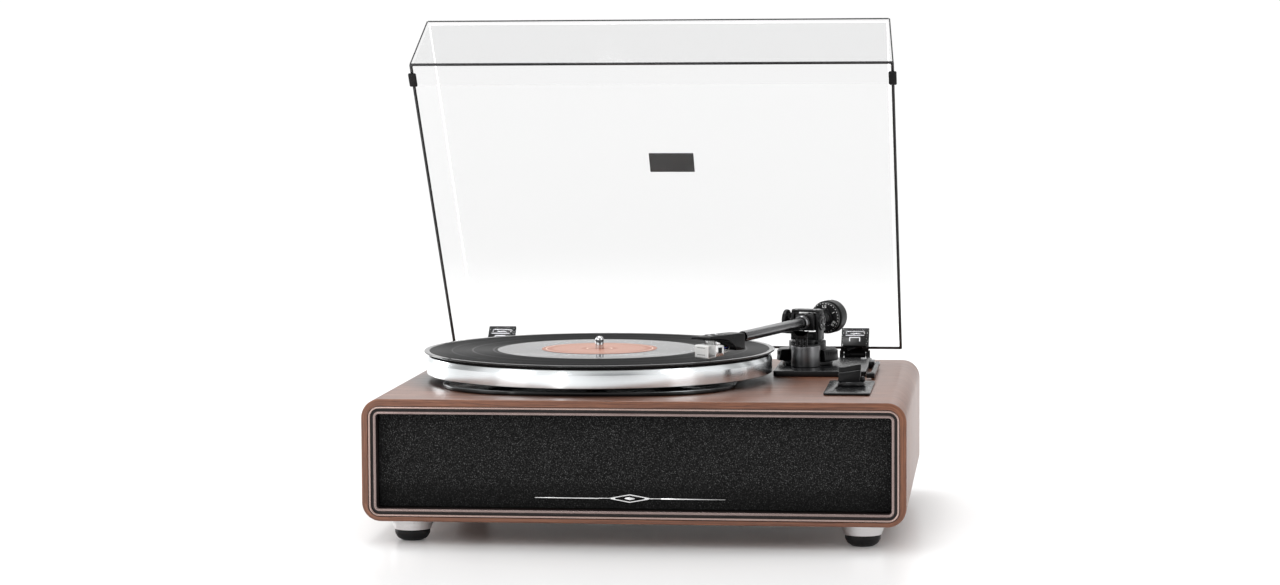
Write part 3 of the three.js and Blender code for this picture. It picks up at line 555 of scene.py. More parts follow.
class Piece:
    def __init__(self, M=I4):
        self.v, self.f, self.mi, self.uv, self.M, self.mats = [], [], [], {}, M, []

    def slot(self, mat):
        if mat not in self.mats:
            self.mats.append(mat)
        return self.mats.index(mat)

    def add(self, verts, faces, mat, M=I4, uv=None):
        T = self.M @ M
        o = len(self.v)
        self.v += [T @ Vector(p) for p in verts]
        flip = T.to_3x3().determinant() < 0
        i = self.slot(mat)
        for k, f in enumerate(faces):
            idx = [o + j for j in f]
            if flip: idx.reverse()
            if uv: self.uv[len(self.f)] = list(reversed(uv[k])) if flip else uv[k]
            self.f.append(idx); self.mi.append(i)
        return self

    def lathe(self, prof, mat, segs=64, M=I4, r=0.0, n=3, closed=False, arc=None):
        """turns (radius, height) points about Z; open profiles run from axis to axis, upwards on the outside"""
        p = fillet([(a, b) + tuple(c) for a, b, *c in prof], r, n, closed) if r > 0 or any(len(q) > 2 for q in prof) else [q[:2] for q in prof]
        full = arc is None
        a0, a1 = (0, 2 * math.pi) if full else arc
        cols = segs if full else segs + 1
        verts, idx = [], []
        for (rr, z) in p:
            if rr < 1e-6:
                idx.append([len(verts)] * cols); verts.append((0, 0, z))
            else:
                row = []
                for k in range(cols):
                    w = a0 + (a1 - a0) * k / segs
                    row.append(len(verts)); verts.append((rr * math.cos(w), rr * math.sin(w), z))
                idx.append(row)
        faces, m = [], len(p)
        for i in range(m if closed else m - 1):
            r0, r1 = idx[i], idx[(i + 1) % m]
            for k in range(segs):
                k2 = (k + 1) % cols
                q = [r0[k], r0[k2], r1[k2], r1[k]]
                q2 = []
                for t in q:
                    if t not in q2: q2.append(t)
                if len(q2) > 2: faces.append(q2)
        if not full and closed:
            faces.append([row[0] for row in idx])
            faces.append([row[-1] for row in reversed(idx)])
        return self.add(verts, faces, mat, M)

    def prism(self, outline, z0, z1, mat, bevel=0.0, n=2, M=I4, both=True):
        if area2(outline) < 0: outline = list(reversed(outline))
        b = min(bevel, (z1 - z0) / (2 if both else 1) * 0.98)
        rings = []
        if b > 0 and both:
            for k in range(n + 1):
                w = math.pi / 2 * k / n
                rings.append((b * (1 - math.sin(w)), z0 + b * (1 - math.cos(w))))
        else:
            rings.append((0, z0))
        if b > 0:
            for k in range(n + 1):
                w = math.pi / 2 * k / n
                rings.append((b * (1 - math.cos(w)), z1 - b * (1 - math.sin(w))))
        else:
            rings.append((0, z1))
        verts, m = [], len(outline)
        for d, z in rings:
            o = inset(outline, d) if d > 1e-9 else outline
            verts += [(x, y, z) for x, y in o]
        faces = [list(reversed(range(m)))]
        for i in range(len(rings) - 1):
            for k in range(m):
                k2 = (k + 1) % m
                faces.append([i * m + k, i * m + k2, (i + 1) * m + k2, (i + 1) * m + k])
        faces.append([(len(rings) - 1) * m + k for k in range(m)])
        return self.add(verts, faces, mat, M)

    def box(self, x0, y0, z0, x1, y1, z1, mat, bevel=0.4, n=2, M=I4, r=None):
        r = bevel if r is None else r
        o = fillet([(x0, y0), (x1, y0), (x1, y1), (x0, y1)], r, 3) if r > 0 else [(x0, y0), (x1, y0), (x1, y1), (x0, y1)]
        return self.prism(o, z0, z1, mat, bevel, n, M)

    def side(self, outline, x0, x1, mat, bevel=0.3, n=2, M=I4):
        """outline in (y, z), stretched along x"""
        T = Matrix(((0, 0, 1, 0), (1, 0, 0, 0), (0, 1, 0, 0), (0, 0, 0, 1)))
        return self.prism(outline, x0, x1, mat, bevel, n, M @ T)

    def front(self, outline, y0, y1, mat, bevel=0.3, n=2, M=I4):
        """outline in (x, z), stretched along y"""
        T = Matrix(((1, 0, 0, 0), (0, 0, -1, 0), (0, 1, 0, 0), (0, 0, 0, 1)))
        return self.prism(outline, -y1, -y0, mat, bevel, n, M @ T)

    def tube(self, pts, r, mat, segs=10, M=I4, r2=None):
        pts = [Vector(p) for p in pts]
        verts, faces = [], []
        t0 = (pts[1] - pts[0]).normalized()
        nrm = t0.orthogonal().normalized()
        for i, p in enumerate(pts):
            t = (pts[min(i + 1, len(pts) - 1)] - pts[max(i - 1, 0)]).normalized()
            nrm = (nrm - t * nrm.dot(t)).normalized()
            b = t.cross(nrm)
            rr = r if r2 is None else r + (r2 - r) * i / (len(pts) - 1)
            for k in range(segs):
                w = 2 * math.pi * k / segs
                verts.append(tuple(p + (nrm * math.cos(w) + b * math.sin(w)) * rr))
        for i in range(len(pts) - 1):
            for k in range(segs):
                k2 = (k + 1) % segs
                faces.append([i * segs + k, i * segs + k2, (i + 1) * segs + k2, (i + 1) * segs + k])
        faces.append(list(reversed(range(segs))))
        faces.append([(len(pts) - 1) * segs + k for k in range(segs)])
        return self.add(verts, faces, mat, M)

    def obj(self, name, body, replaces=(), slot=None, sharp=32):
        me = bpy.data.meshes.new(name)
        me.from_pydata([tuple(G @ p) for p in self.v], [], self.f)
        for m in self.mats:
            me.materials.append(m)
        me.polygons.foreach_set("material_index", self.mi)
        if self.uv:
            layer = me.uv_layers.new(name="UVMap")
            for p in me.polygons:
                uv = self.uv.get(p.index)
                if uv:
                    for k, li in enumerate(p.loop_indices):
                        layer.data[li].uv = uv[k]
        me.validate()
        me.shade_smooth()
        import bmesh
        bm = bmesh.new()
        bm.from_mesh(me)
        bmesh.ops.remove_doubles(bm, verts=bm.verts, dist=1e-7)
        for e in bm.edges:
            if len(e.link_faces) == 2 and e.calc_face_angle(0) > rad(sharp):
                e.smooth = False
        bm.to_mesh(me)
        bm.free()
        me.update()
        o = bpy.data.objects.new(name, me)
        bpy.context.scene.collection.objects.link(o)
        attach(o, body)
        if replaces:
            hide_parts(*replaces)
        return o


def rrect(x0, y0, x1, y1, r, n=6):
    return fillet([(x0, y0), (x1, y0), (x1, y1), (x0, y1)], r, n)


def T(x=0, y=0, z=0):
    return Matrix.Translation((x, y, z))


def R(a, axis):
    return Matrix.Rotation(rad(a), 4, axis)


ALONG_Y = R(-90, "X")      # a lathe's Z becomes +Y
ALONG_X = R(90, "Y")       # a lathe's Z becomes +X


def cut(o, tools):
    """cuts closed pieces out of an object, keeping its UVs"""
    for k, t in enumerate(tools):
        me = bpy.data.meshes.new("cutter")
        me.from_pydata([tuple(G @ p) for p in t.v], [], t.f)
        c = bpy.data.objects.new("cutter", me)
        bpy.context.scene.collection.objects.link(c)
        md = o.modifiers.new("cut", "BOOLEAN")
        md.operation, md.object, md.solver = "DIFFERENCE", c, "EXACT"
        bpy.context.view_layer.update()
        dg = bpy.context.evaluated_depsgraph_get()
        new = bpy.data.meshes.new_from_object(o.evaluated_get(dg))
        o.modifiers.clear()
        if len(new.vertices) > 8:
            old = o.data
            o.data = new
            bpy.data.meshes.remove(old)
        bpy.data.objects.remove(c)
    return o


# ------------------------------------------------------------------ cabinet
def loops(rings, mat_of, closed=True, n=14):
    """rings of a rounded rectangle (half width, z low, z high, radius, y), joined in order"""
    p = Piece()
    base = [rrect(-hw, zl, hw, zh, r, n) for hw, zl, zh, r, y in rings]
    m = len(base[0])
    per = [0.0]
    for k in range(m):
        a, b = base[0][k], base[0][(k + 1) % m]
        per.append(per[-1] + math.hypot(b[0] - a[0], b[1] - a[1]))
    dist = [0.0]
    for i in range(1, len(rings)):
        a, b = rings[i - 1], rings[i]
        dist.append(dist[-1] + max(abs(a[4] - b[4]), abs(a[0] - b[0])))
    verts = [(x, rings[i][4], z) for i in range(len(rings)) for x, z in base[i]]
    cnt = len(rings)
    for i in range(cnt if closed else cnt - 1):
        j = (i + 1) % cnt
        dj = dist[j] if j else dist[-1] + 5
        faces, uvs = [], []
        for k in range(m):
            k2 = (k + 1) % m
            faces.append([i * m + k, i * m + k2, j * m + k2, j * m + k])
            uvs.append([(per[k] / 1000, dist[i] / 1000), (per[k + 1] / 1000, dist[i] / 1000), (per[k + 1] / 1000, dj / 1000), (per[k] / 1000, dj / 1000)])
        o = len(p.v)
        if i == 0:
            p.v += [Vector(q) for q in verts]
        idx = p.slot(mat_of(i))
        for f, u in zip(faces, uvs):
            p.uv[len(p.f)] = u
            p.f.append(f); p.mi.append(idx)
    return p


def ring_z(a_side, a_top, a_bot, r, y, hw=221.0, zl=19.0, zh=119.0):
    return (hw - a_side, zl + a_bot, zh - a_top, r, y)


b = 1.1
outer = []
for k in range(5):                       # rounded front edge, out to the side
    w = math.pi / 2 * k / 4
    d = b * (1 - math.sin(w))
    outer.append(ring_z(d, d, d, 15.5 - d, FRONT + b * (1 - math.cos(w))))
for k in range(5):
    w = math.pi / 2 * k / 4
    d = b * (1 - math.cos(w))
    outer.append(ring_z(d, d, d, 15.5 - d, BACK - b * (1 - math.sin(w))))
inner = [ring_z(5.2, 5.6, 3.6, 9.5, BACK), ring_z(5.2, 5.6, 3.6, 9.5, FRONT)]
shell = loops(outer + inner, lambda i: WOOD)
cab = shell.obj("cabinet_veneer", "root", ["cabinet_shell"], "walnut_wood")
cut(cab, [Piece().lathe([(0, 105), (12, 105), (12, 125), (0, 125)], WOOD, 48, T(SPX, SPYY)),
          Piece().lathe([(0, 105), (10, 105), (10, 125), (0, 125)], WOOD, 40, T(-126.4, 81)),
          Piece().lathe([(0, 105), (4.5, 105), (4.5, 125), (0, 125)], WOOD, 32, T(171.5, -67))])
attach(cab, "root")

# bezel: two rounded ridges with a groove between them; painted light: the outer ridge takes a lighter, lit copy of the
# bronze, the inner ridge a darker, shaded copy, and the groove and the wall behind the inner ridge a near-black painted
# shade
def bz(a, y):
    return (215.5 - a, 22.9 + a, 113.1 - a, max(9.0 - a, 1.1), y)
prof = [(0, FRONT + 13), (0, FRONT + 1.0)]
prof += [(1.0 - 1.0 * math.cos(math.pi * k / 8), FRONT + 1.0 - 1.0 * math.sin(math.pi * k / 8)) for k in range(1, 8)]
prof += [(2.0, FRONT + 1.0), (2.05, FRONT + 2.3), (3.95, FRONT + 2.3), (4.0, FRONT + 1.3)]
prof += [(5.3 - 1.3 * math.cos(math.pi * k / 8), FRONT + 1.3 - 1.3 * math.sin(math.pi * k / 8)) for k in range(1, 8)]
prof += [(6.6, FRONT + 1.3), (6.6, FRONT + 13)]
loops([bz(a, y) for a, y in prof], lambda i: BRONZE_LIT if i < 9 else BRONZE_GROOVE_SHADE if i < 12 else BRONZE_SHADED if i < 20 else BRONZE_GROOVE_SHADE, n=10).obj("bezel_frame", "root", ["front_bezel"], "bezel_bronze", sharp=40)

lo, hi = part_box("grille_cloth")
def mm(v): return (v.x * 1000, v.y * 1000 + SY, v.z * 1000)
gx, gz0, gz1 = hi.x * 1000, lo.z * 1000, hi.z * 1000
Piece().front(rrect(-gx, gz0, gx, gz1, 2.6, 4), FRONT + 10, FRONT + 12.6, CLOTH, 0.9, 4).obj("speaker_cloth", "root", ["grille_cloth"], "grille_cloth")

# ornament on the cloth: two tapered bars and a plain lozenge
p = Piece()
for x0, x1 in ((-79.8, -27.5), (23.1, 75.4)):
    far, near = (x0, x1) if x0 < -50 else (x1, x0)
    p.front([(far, 38.55), (near, 38.25), (near, 39.35), (far, 39.05)] if far < near else [(near, 38.25), (far, 38.55), (far, 39.05), (near, 39.35)], FRONT + 8.4, FRONT + 9.4, SILVER, 0.2, 2)
oz = [(-22, 38.8), (-2.2, 35.2), (17.6, 38.8), (-2.2, 42.4)]
outl = fillet(oz, 0.8, 4)
ins = fillet([(-16.6, 38.8), (-2.2, 36.3), (12.2, 38.8), (-2.2, 41.3)], 0.5, 4)
mcount = len(outl)
vv = []
for yy, pts in ((FRONT + 9.4, outl), (FRONT + 8.3, outl), (FRONT + 8.0, inset(outl, 0.3)), (FRONT + 8.0, inset(ins, -0.3)), (FRONT + 8.3, ins), (FRONT + 9.4, ins)):
    vv += [(x, yy, z) for x, z in pts]
ff = []
for i in range(6):
    j = (i + 1) % 6
    for k in range(mcount):
        k2 = (k + 1) % mcount
        ff.append([i * mcount + k, i * mcount + k2, j * mcount + k2, j * mcount + k])
p.add(vv, ff, SILVER)
p.front(fillet([(-8.2, 38.8), (-2.2, 37.5), (3.8, 38.8), (-2.2, 40.1)], 0.5, 4), FRONT + 8.3, FRONT + 9.5, SILVER, 0.25, 2)
for s in (-1, 1):
    p.box(-2.2 + s * 17 - 1.2, FRONT + 9.0, 38.5, -2.2 + s * 25.5 + 1.2, FRONT + 9.5, 39.1, SILVER, 0.1, 1) if s > 0 else p.box(-2.2 - 26.7, FRONT + 9.0, 38.5, -2.2 - 15.8, FRONT + 9.5, 39.1, SILVER, 0.1, 1)
p.obj("emblem_ornament", "root", ["emblem_bar"], "emblem_metal")

# feet
for sx, side in ((-1, "left"), (1, "right")):
    for fy, where in ((-146, "front"), (146, "rear")):
        M = T(sx * 184.8, fy)
        Piece(M).lathe([(0, 9.3), (15.2, 9.3, 0.4), (15.7, 11, 1), (17.5, 15, 2), (19, 17.3, 0.8), (19, 18.7, 0.3), (0, 18.7)], FOOT, 72).obj(
            f"foot_ring_{where}_{side}_look", "root", [f"foot_ring_{where}_{side}"], "foot_chrome")
        Piece(M).lathe([(0, 0), (8.5, 0, 2), (12.4, 2.2, 4), (14.5, 6, 4), (14.6, 9, 0.3), (0, 9)], RUBBER, 64).obj(
            f"foot_pad_{where}_{side}_look", "root", [f"foot_pad_{where}_{side}"], "foot_rubber")

# ------------------------------------------------------------------ platter group
plate = Piece().prism(rrect(SPX - 123, -142, SPX + 123, 148, 75, 24), 119.3, 122.2, GLOSS, 0.7, 3).obj("platter_plate_look", "root", ["platter_base_plate"], "platter_plate_gloss")
cut(plate, [Piece().lathe([(0, 105), (12, 105), (12, 125), (0, 125)], GLOSS, 48, T(SPX, SPYY)), Piece().lathe([(0, 105), (10, 105), (10, 125), (0, 125)], GLOSS, 40, T(-126.4, 81))])
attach(plate, "root")
S = T(SPX, SPYY)
Piece(S).lathe([(3.95, 127.2, 0.2), (14, 127.2, 0.6), (14, 135, 1.2), (71, 135, 1), (71, 126, 0.4), (75, 126, 0.4), (75, 135, 1), (143.5, 135, 1.5), (143.5, 125.2, 0.4),
                (147.6, 124.6, 0.5), (148.4, 125.2, 0.4), (148.4, 136.0, 0.25), (146.9, 140.2, 0.3), (146.5, 140.2, 0.1), (145.9, 139.9, 0.1), (3.95, 139.9, 0.2)], ALU_RIM, 220, closed=True, n=3).obj(
    "platter_look", "platter", ["platter"], "platter_aluminium", sharp=24)
Piece(S).lathe([(3.95, 140.5, 0.1), (146.5, 140.5, 0.4), (146.5, 142.4, 0.4), (3.95, 142.4, 0.1)], FELT, 160, closed=True).obj("slipmat_look", "platter", ["slipmat"], "slipmat_felt")
rec = Piece(S)
rec.lathe([(3.95, 142.8, 0.05), (150.0, 142.8, 0.3), (150.8, 143.4, 0.4), (150.4, 144.2, 0.35), (147.2, 144.12, 0.5), (146.2, 143.98, 0.3), (87.7, 143.98, 0.1), (87.3, 144.04, 0.1), (54.5, 144.06, 0.3), (52, 144.1, 0.3),
           (50.4, 144.28, 0.2), (3.95, 144.28, 0.05)], VINYL, 220, closed=True, n=3)
gi = rec.slot(GROOVES)          # the grooved part of the top
for k, f in enumerate(rec.f):
    c = [sum(rec.v[q][a] for q in f) / len(f) for a in range(3)]
    zs = [rec.v[q][2] for q in f]
    rs = [math.hypot(rec.v[q][0] - SPX, rec.v[q][1] - SPYY) for q in f]
    if min(zs) > 143.9 and max(zs) < 144.0 and max(rs) - min(rs) > 50:
        rec.mi[k] = gi
rec.obj("record_look", "platter", ["record"], "record_vinyl", sharp=30)
Piece(S).lathe([(3.95, 144.3, 0.02), (49.6, 144.3, 0.03), (49.6, 144.4, 0.03), (3.95, 144.4, 0.02)], LABEL, 120, closed=True, n=1).obj("record_label", "platter", slot="record_vinyl")
Piece(S).lathe([(0, 74.4), (3.4, 74.4, 0.4), (3.4, 126, 0.2), (3.6, 127, 0.2), (3.6, 152.0, 0.6), (3.1, 153.6, 1.0), (1.7, 154.7, 0.8), (0, 155.0)], SPIND, 40, n=4).obj(
    "spindle_look", "platter", ["spindle"], "spindle_chrome")

# ------------------------------------------------------------------ tonearm base
o = fillet([(99.8, 20, 3.5), (179.5, 20, 3.5), (179.5, 142, 3), (99.8, 142, 3)], 3, 6)
p = Piece().prism(o, 119.3, 124.1, BLACK_FINE, 0.7, 3)
p.box(178.8, 90, 119.3, 183.6, 110, 125.7, BLACK_FINE, 0.5)
p.lathe([(0, -0.4), (1.6, -0.4, 0.1), (1.6, 5, 0.3), (0, 5)], STEEL, 20, T(183.4, 100, 122.6) @ ALONG_X)
for x, y in ((106.5, 134.5), (172.5, 134.5), (172.5, 27.5)):
    p.lathe([(0, 124.0), (2.6, 124.0, 0.1), (2.6, 124.6, 0.3), (0.9, 124.75, 0.1), (0.9, 124.4), (0, 124.4)], STEEL, 24, T(x, y))
p.obj("tonearm_base_look", "root", ["tonearm_base_plate"], "arm_base_black")

p = Piece()
p.lathe([(5.1, 124.4, 0.1), (22, 124.4, 0.4), (22, 127.9, 0.7), (16.2, 128.0, 0.2), (16.2, 142.6, 0.2), (16.1, 142.6), (13.3, 142.6, 0.1), (13.3, 141, 0.1), (5.1, 141, 0.1)], BLACK_FINE, 96, T(PX, PY), closed=True)
for a0, a1 in ((-52, 232),):
    p.lathe([(13.35, 141.5, 0.1), (16.2, 141.5, 0.1), (16.2, 145.0, 0.5), (13.35, 145.0, 0.3)], BLACK_FINE, 60, T(PX, PY), closed=True, arc=(rad(a0), rad(a1)))
p.obj("arm_tower_look", "root", ["arm_tower"], "arm_base_black")
col = Piece().lathe([(0, 124.4), (12.7, 124.4, 0.3), (12.7, 142.6, 0.8), (0, 142.6)], COLUMN, 96, T(125.4, 59))
col.obj("arm_tower_column", "root", slot="arm_base_black")
cutters = [Piece().lathe([(0, 127), (1.9, 127), (1.9, 150), (0, 150)], BLACK_FINE, 24, T(122.6, 50.6)), Piece().lathe([(0, 120), (16.1, 120), (16.1, 150), (0, 150)], BLACK_FINE, 96, T(PX, PY))]
cut(bpy.data.objects["arm_tower_column"], cutters)
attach(bpy.data.objects["arm_tower_column"], "root")

# anti-skate dial, open at the front for the column
p = Piece(T(PX, PY))
a0, a1 = -90 + 38, -90 + 300
p.lathe([(16.6, 128.4, 0.2), (27, 128.4, 0.4), (27, 130.4, 0.5), (25.7, 137.2, 0.5), (25.0, 138.2, 0.3), (16.6, 138.2, 0.3)], BLACK, 120, closed=True, arc=(rad(a0), rad(a1)))
for k in range(52):
    a = a0 + 6 + k * (250 / 51)
    p.box(26.05, -0.45, 130.6, 26.62, 0.45, 136.6, BLACK, 0.15, 1, R(a, "Z"))
for k in range(9):
    a = a0 + 20 + k * 12
    p.box(19.6 if k % 2 else 18.4, -0.22, 138.12, 22.6, 0.22, 138.2, PRINT, 0.0, 1, R(a, "Z"), r=0)
p.obj("anti_skate_look", "anti_skate_dial", ["anti_skate_dial"], "black_plastic")

# armrest
p = Piece()
for x in (118.6, 126.6):
    p.lathe([(0, 142.9), (1.1, 142.9, 0.1), (1.1, 151.5, 0.2), (0, 151.5)], BLACK_FINE, 20, T(x, 49.7))
    p.lathe([(0, 142.9), (1.8, 142.9, 0.2), (1.5, 144.6, 0.3), (0, 144.6)], BLACK_FINE, 20, T(x, 49.7))
    p.box(x - 1.2, 44.8, 149.6, x + 1.2, 50.8, 152, BLACK_FINE, 0.4)
fork = [(114.8, 156.3, 0.3), (116.5, 156.3, 0.3), (117.2, 155.0, 1), (118.4, 153.6, 1.5), (119.8, 152.7, 1.5), (124.4, 152.7, 1.5), (125.9, 153.6, 1.5), (127.1, 155.0, 1), (127.6, 156.3, 0.3), (129.2, 156.3, 0.3),
        (128.6, 154.6, 1.2), (127.6, 151.6, 1.5), (126.4, 149.7, 0.8), (117.7, 149.7, 0.8), (116.3, 151.6, 1.5), (115.3, 154.6, 1.2)]
p.front(fillet(fork, 0.3, 4), 44.9, 47.3, BLACK_FINE, 0.5, 3)
p.obj("armrest_look", "root", ["armrest"], "black_plastic")

# lift arc
arc = []
for k in range(25):
    w = rad(1 + 54 * k / 24)
    taper = 1.45 - 0.9 * max(0, (k - 16) / 8)
    arc.append((PX - (30.9 + taper) * math.sin(w), PY - (30.9 + taper) * math.cos(w)))
for k in range(24, -1, -1):
    w = rad(1 + 54 * k / 24)
    taper = 1.45 - 0.9 * max(0, (k - 16) / 8)
    arc.append((PX - (30.9 - taper) * math.sin(w), PY - (30.9 - taper) * math.cos(w)))
p = Piece().prism(arc, 153.5, 156.3, BLACK_FINE, 0.6, 3)
p.lathe([(0, 129), (1.4, 129, 0.2), (1.4, 154.4, 0.1), (0, 154.4)], BLACK_FINE, 24, T(122.6, 50.6))
p.obj("lift_bar_look", "lift_bar", ["lift_bar"], "arm_base_black")

# cue lever
p = Piece()
p.box(184.2, 4, 120.4, 188, 103.4, 124.8, BLACK_FINE, 0.7, 3)
p.box(180.8, 0.1, 120.4, 188, 8.2, 124.8, BLACK_FINE, 0.9, 3)
for k in range(5):
    p.box(182.0, 1.3 + k * 1.3, 124.6, 187.0, 1.8 + k * 1.3, 124.8, BLACK, 0.08, 1)
p.obj("cue_lever_look", "cue_lever", ["cue_lever"], "arm_base_black")

# ------------------------------------------------------------------ tonearm
p = Piece(A)
p.lathe([(0, 130), (4.7, 130, 0.3), (4.7, 141.4), (12.8, 141.4, 0.4), (12.8, 146.4, 0.8), (0, 146.6)], BLACK_FINE, 72)
cheek = fillet([(-7, 145.9, 0.4), (7, 145.9, 0.4), (7, 168, 2.2), (4.6, 172.5, 1.2), (-4.6, 172.5, 1.2), (-7, 168, 2.2)], 1, 5)
for x0, x1 in ((-13, -10), (10, 13)):
    p.side(cheek, x0, x1, BLACK_FINE, 0.5, 2)
p.front(fillet([(-12.9, 170.2, 0.4), (12.9, 170.2, 0.4), (12.9, 171.6, 0.8), (10.8, 172.55, 0.6), (-10.8, 172.55, 0.6), (-12.9, 171.6, 0.8)], 0.5, 3), -6.0, 6.0, BLACK_FINE, 0.5, 2)
p.lathe([(0, 12.6), (7.2, 12.6, 0.2), (7.2, 14.2, 0.5), (5.4, 14.5, 0.3), (4.9, 14.1, 0.2), (2.9, 14.1, 0.2), (2.5, 14.7, 0.2), (0, 14.7)], BLACK_FINE, 48, T(0, 0, AZ) @ ALONG_X)
for k in range(3):
    w = rad(90 + 120 * k)
    p.lathe([(0, 14.0), (0.75, 14.0, 0.1), (0.75, 14.6, 0.2), (0, 14.6)], STEEL, 16, T(0, 3.9 * math.cos(w), AZ + 3.9 * math.sin(w)) @ ALONG_X)
p.lathe([(0, 12.4), (3.4, 12.4, 0.1), (3.4, 17.4, 0.2), (0, 17.4)], BLACK_FINE, 32, T(0, 0, AZ) @ R(180, "Z") @ ALONG_X)
for y in (-4.6, 4.6):
    p.lathe([(0, 172.3), (1.3, 172.3, 0.1), (1.3, 172.6, 0.1), (0.55, 172.6, 0.05), (0.55, 172.4), (0, 172.4)], STEEL, 18, T(-8.5, y))
    p.lathe([(0, 172.3), (1.3, 172.3, 0.1), (1.3, 172.6, 0.1), (0.55, 172.6, 0.05), (0.55, 172.4), (0, 172.4)], STEEL, 18, T(8.5, y))
p.box(-10.4, -5.0, 146.0, 10.4, 5.5, 152.3, BLACK_FINE, 0.6, 3)
for x in (-6.2, 6.2):
    p.lathe([(0, 4.9), (1.7, 4.9, 0.1), (1.7, 5.4, 0.3), (0.7, 5.4, 0.05), (0.7, 5.1), (0, 5.1)], BLACK_FINE, 20, T(x, 0, 149.4) @ R(180, "Z") @ ALONG_Y)
p.obj("arm_yoke_look", "arm_swivel", ["arm_yoke"], "arm_base_black")
p = Piece(A @ T(0, 0, AZ + 0.8) @ R(180, "Z") @ ALONG_X)
p.lathe([(0, 17.75), (9.0, 17.75, 0.3), (9.4, 18.2, 0.3), (9.4, 20.6, 0.5), (7.9, 21.3, 0.3), (7.2, 20.8, 0.2), (2.2, 20.7, 0.2), (1.8, 21.3, 0.2), (0, 21.3)], BLACK_FINE, 64)
for k in range(36):
    p.box(9.2, -0.22, 18.5, 9.48, 0.22, 20.2, BLACK_FINE, 0.08, 1, R(10 * k, "Z"))
p.obj("yoke_cap_look", "arm_swivel", ["yoke_cap"], "arm_base_black")

p = Piece(A)
p.box(-9.2, -7.4, AZ - 7.4, 9.2, 9, AZ + 7.2, BLACK_FINE, 1.4, 4)
p.lathe([(0, -12.3), (2.0, -12.3, 0.2), (2.0, 13.1, 0.2), (0, 13.1)], STEEL, 24, T(0, 0, AZ) @ ALONG_X)
p.lathe([(0, 7.0), (1.6, 7.0, 0.1), (1.6, 7.7, 0.3), (0.7, 7.7, 0.1), (0.7, 7.3), (0, 7.3)], STEEL, 20, T(0, -3, AZ))
p.lathe([(0, 7.0), (1.6, 7.0, 0.1), (1.6, 7.7, 0.3), (0.7, 7.7, 0.1), (0.7, 7.3), (0, 7.3)], STEEL, 20, T(0, 5, AZ))
gim = p.obj("gimbal_block_look", "tonearm", ["gimbal_block"], "arm_black")
cut(gim, [Piece(A).lathe([(0, -10), (4.9, -10), (4.9, 14), (0, 14)], BLACK_FINE, 32, T(0, 0, AZ) @ ALONG_Y)])
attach(gim, "tonearm")
p = Piece(A @ T(0, 0, AZ) @ ALONG_Y)
p.lathe([(3.85, -152.9, 0.1), (4.6, -152.9, 0.2), (4.6, 8, 0.2), (3.85, 8, 0.1)], ARM, 56, closed=True, n=4)
col = Piece(A @ T(0, 0, AZ) @ ALONG_Y)
col.lathe([(4.9, -17.0, 0.1), (5.5, -17.0, 0.2), (6.5, -15.8, 0.5), (6.5, -14.2, 0.1), (6.2, -14.0, 0.1), (6.2, -13.4, 0.1), (6.5, -13.2, 0.1), (6.5, -9.0, 0.5), (5.9, -8.0, 0.2), (4.9, -8.0, 0.1)], ARM, 56, closed=True, n=4)
col.obj("tube_collar_look", "tonearm", ["tube_collar"], "arm_black", sharp=40)
p.obj("arm_tube_look", "tonearm", ["arm_tube"], "arm_black", sharp=40)
p = Piece(A @ T(0, 0, AZ) @ ALONG_Y)
p.lathe([(0, 9.3), (6.8, 9.3, 0.4), (6.8, 12, 0.8), (4.9, 12.4, 0.3), (4.9, 50, 0.5), (0, 50)], STEEL, 56)
p.obj("weight_shaft_look", "tonearm", ["weight_shaft"], "shaft_aluminium")
p = Piece(A @ T(0, 0, AZ) @ ALONG_Y)
p.lathe([(5.3, 40, 0.1), (7.6, 40, 0.4), (7.6, 58, 0.4), (5.3, 58, 0.1)], BLACK, 48, closed=True)
p.obj("weight_bush_look", "weight_bush", ["weight_bush"], "black_plastic")

# tracking force dial with numerals
p = Piece(A @ T(0, 0, AZ) @ ALONG_Y)
p.lathe([(8.0, 41.6, 0.1), (11.9, 41.5, 0.3), (13.5, 43.4, 0.4), (13.5, 47.8, 0.3), (8.0, 47.8, 0.1)], BLACK, 96, closed=True)
for k in range(60):
    p.box(13.3, -0.2, 44.2, 13.5, 0.2, 47.4, BLACK, 0.06, 1, R(6 * k, "Z"))
for k in range(30):
    big = k % 5 == 0
    M = R(12 * k, "Z") @ T(12.72, 0, 42.47) @ R(-49, "Y")
    p.box(-0.8 if big else -0.45, -0.3 if big else -0.2, 0, 0.6, 0.3 if big else 0.2, 0.07, PRINT, 0.0, 1, M, r=0)
SEG = {"0": "abcdef", "1": "bc", "2": "abged", "3": "abgcd", "5": "afgcd", ".": "p"}
def digit(ch, x, y, h):
    """strokes of a plain numeral, as boxes (x0, y0, x1, y1)"""
    w, t = h * 0.58, h * 0.21
    box = {"a": (x, y + h - t, x + w, y + h), "g": (x, y + h / 2 - t / 2, x + w, y + h / 2 + t / 2), "d": (x, y, x + w, y + t),
           "b": (x + w - t, y + h / 2, x + w, y + h), "c": (x + w - t, y, x + w, y + h / 2), "f": (x, y + h / 2, x + t, y + h), "e": (x, y, x + t, y + h / 2), "p": (x, y, x + t * 1.2, y + t * 1.2)}
    return [box[s] for s in SEG[ch]]
for k, txt in enumerate(("0", "0.5", "1", "1.5", "2", "2.5")):
    h = 2.6
    width = sum(h * (0.4 if ch == "." else 0.75) for ch in txt)
    x = -width / 2
    M = R(90 - 60 * k, "Z") @ R(-90, "Z") @ T(0, 8.75, 41.55) @ R(180, "Y")
    for ch in txt:
        for (a, c, d, e) in digit(ch, x, 0, h):
            p.box(a, c, 0.0, d, e, 0.07, PRINT, 0.0, 1, M, r=0)
        x += h * (0.4 if ch == "." else 0.75)
p.obj("force_dial_look", "force_dial", ["force_dial"], "black_plastic")

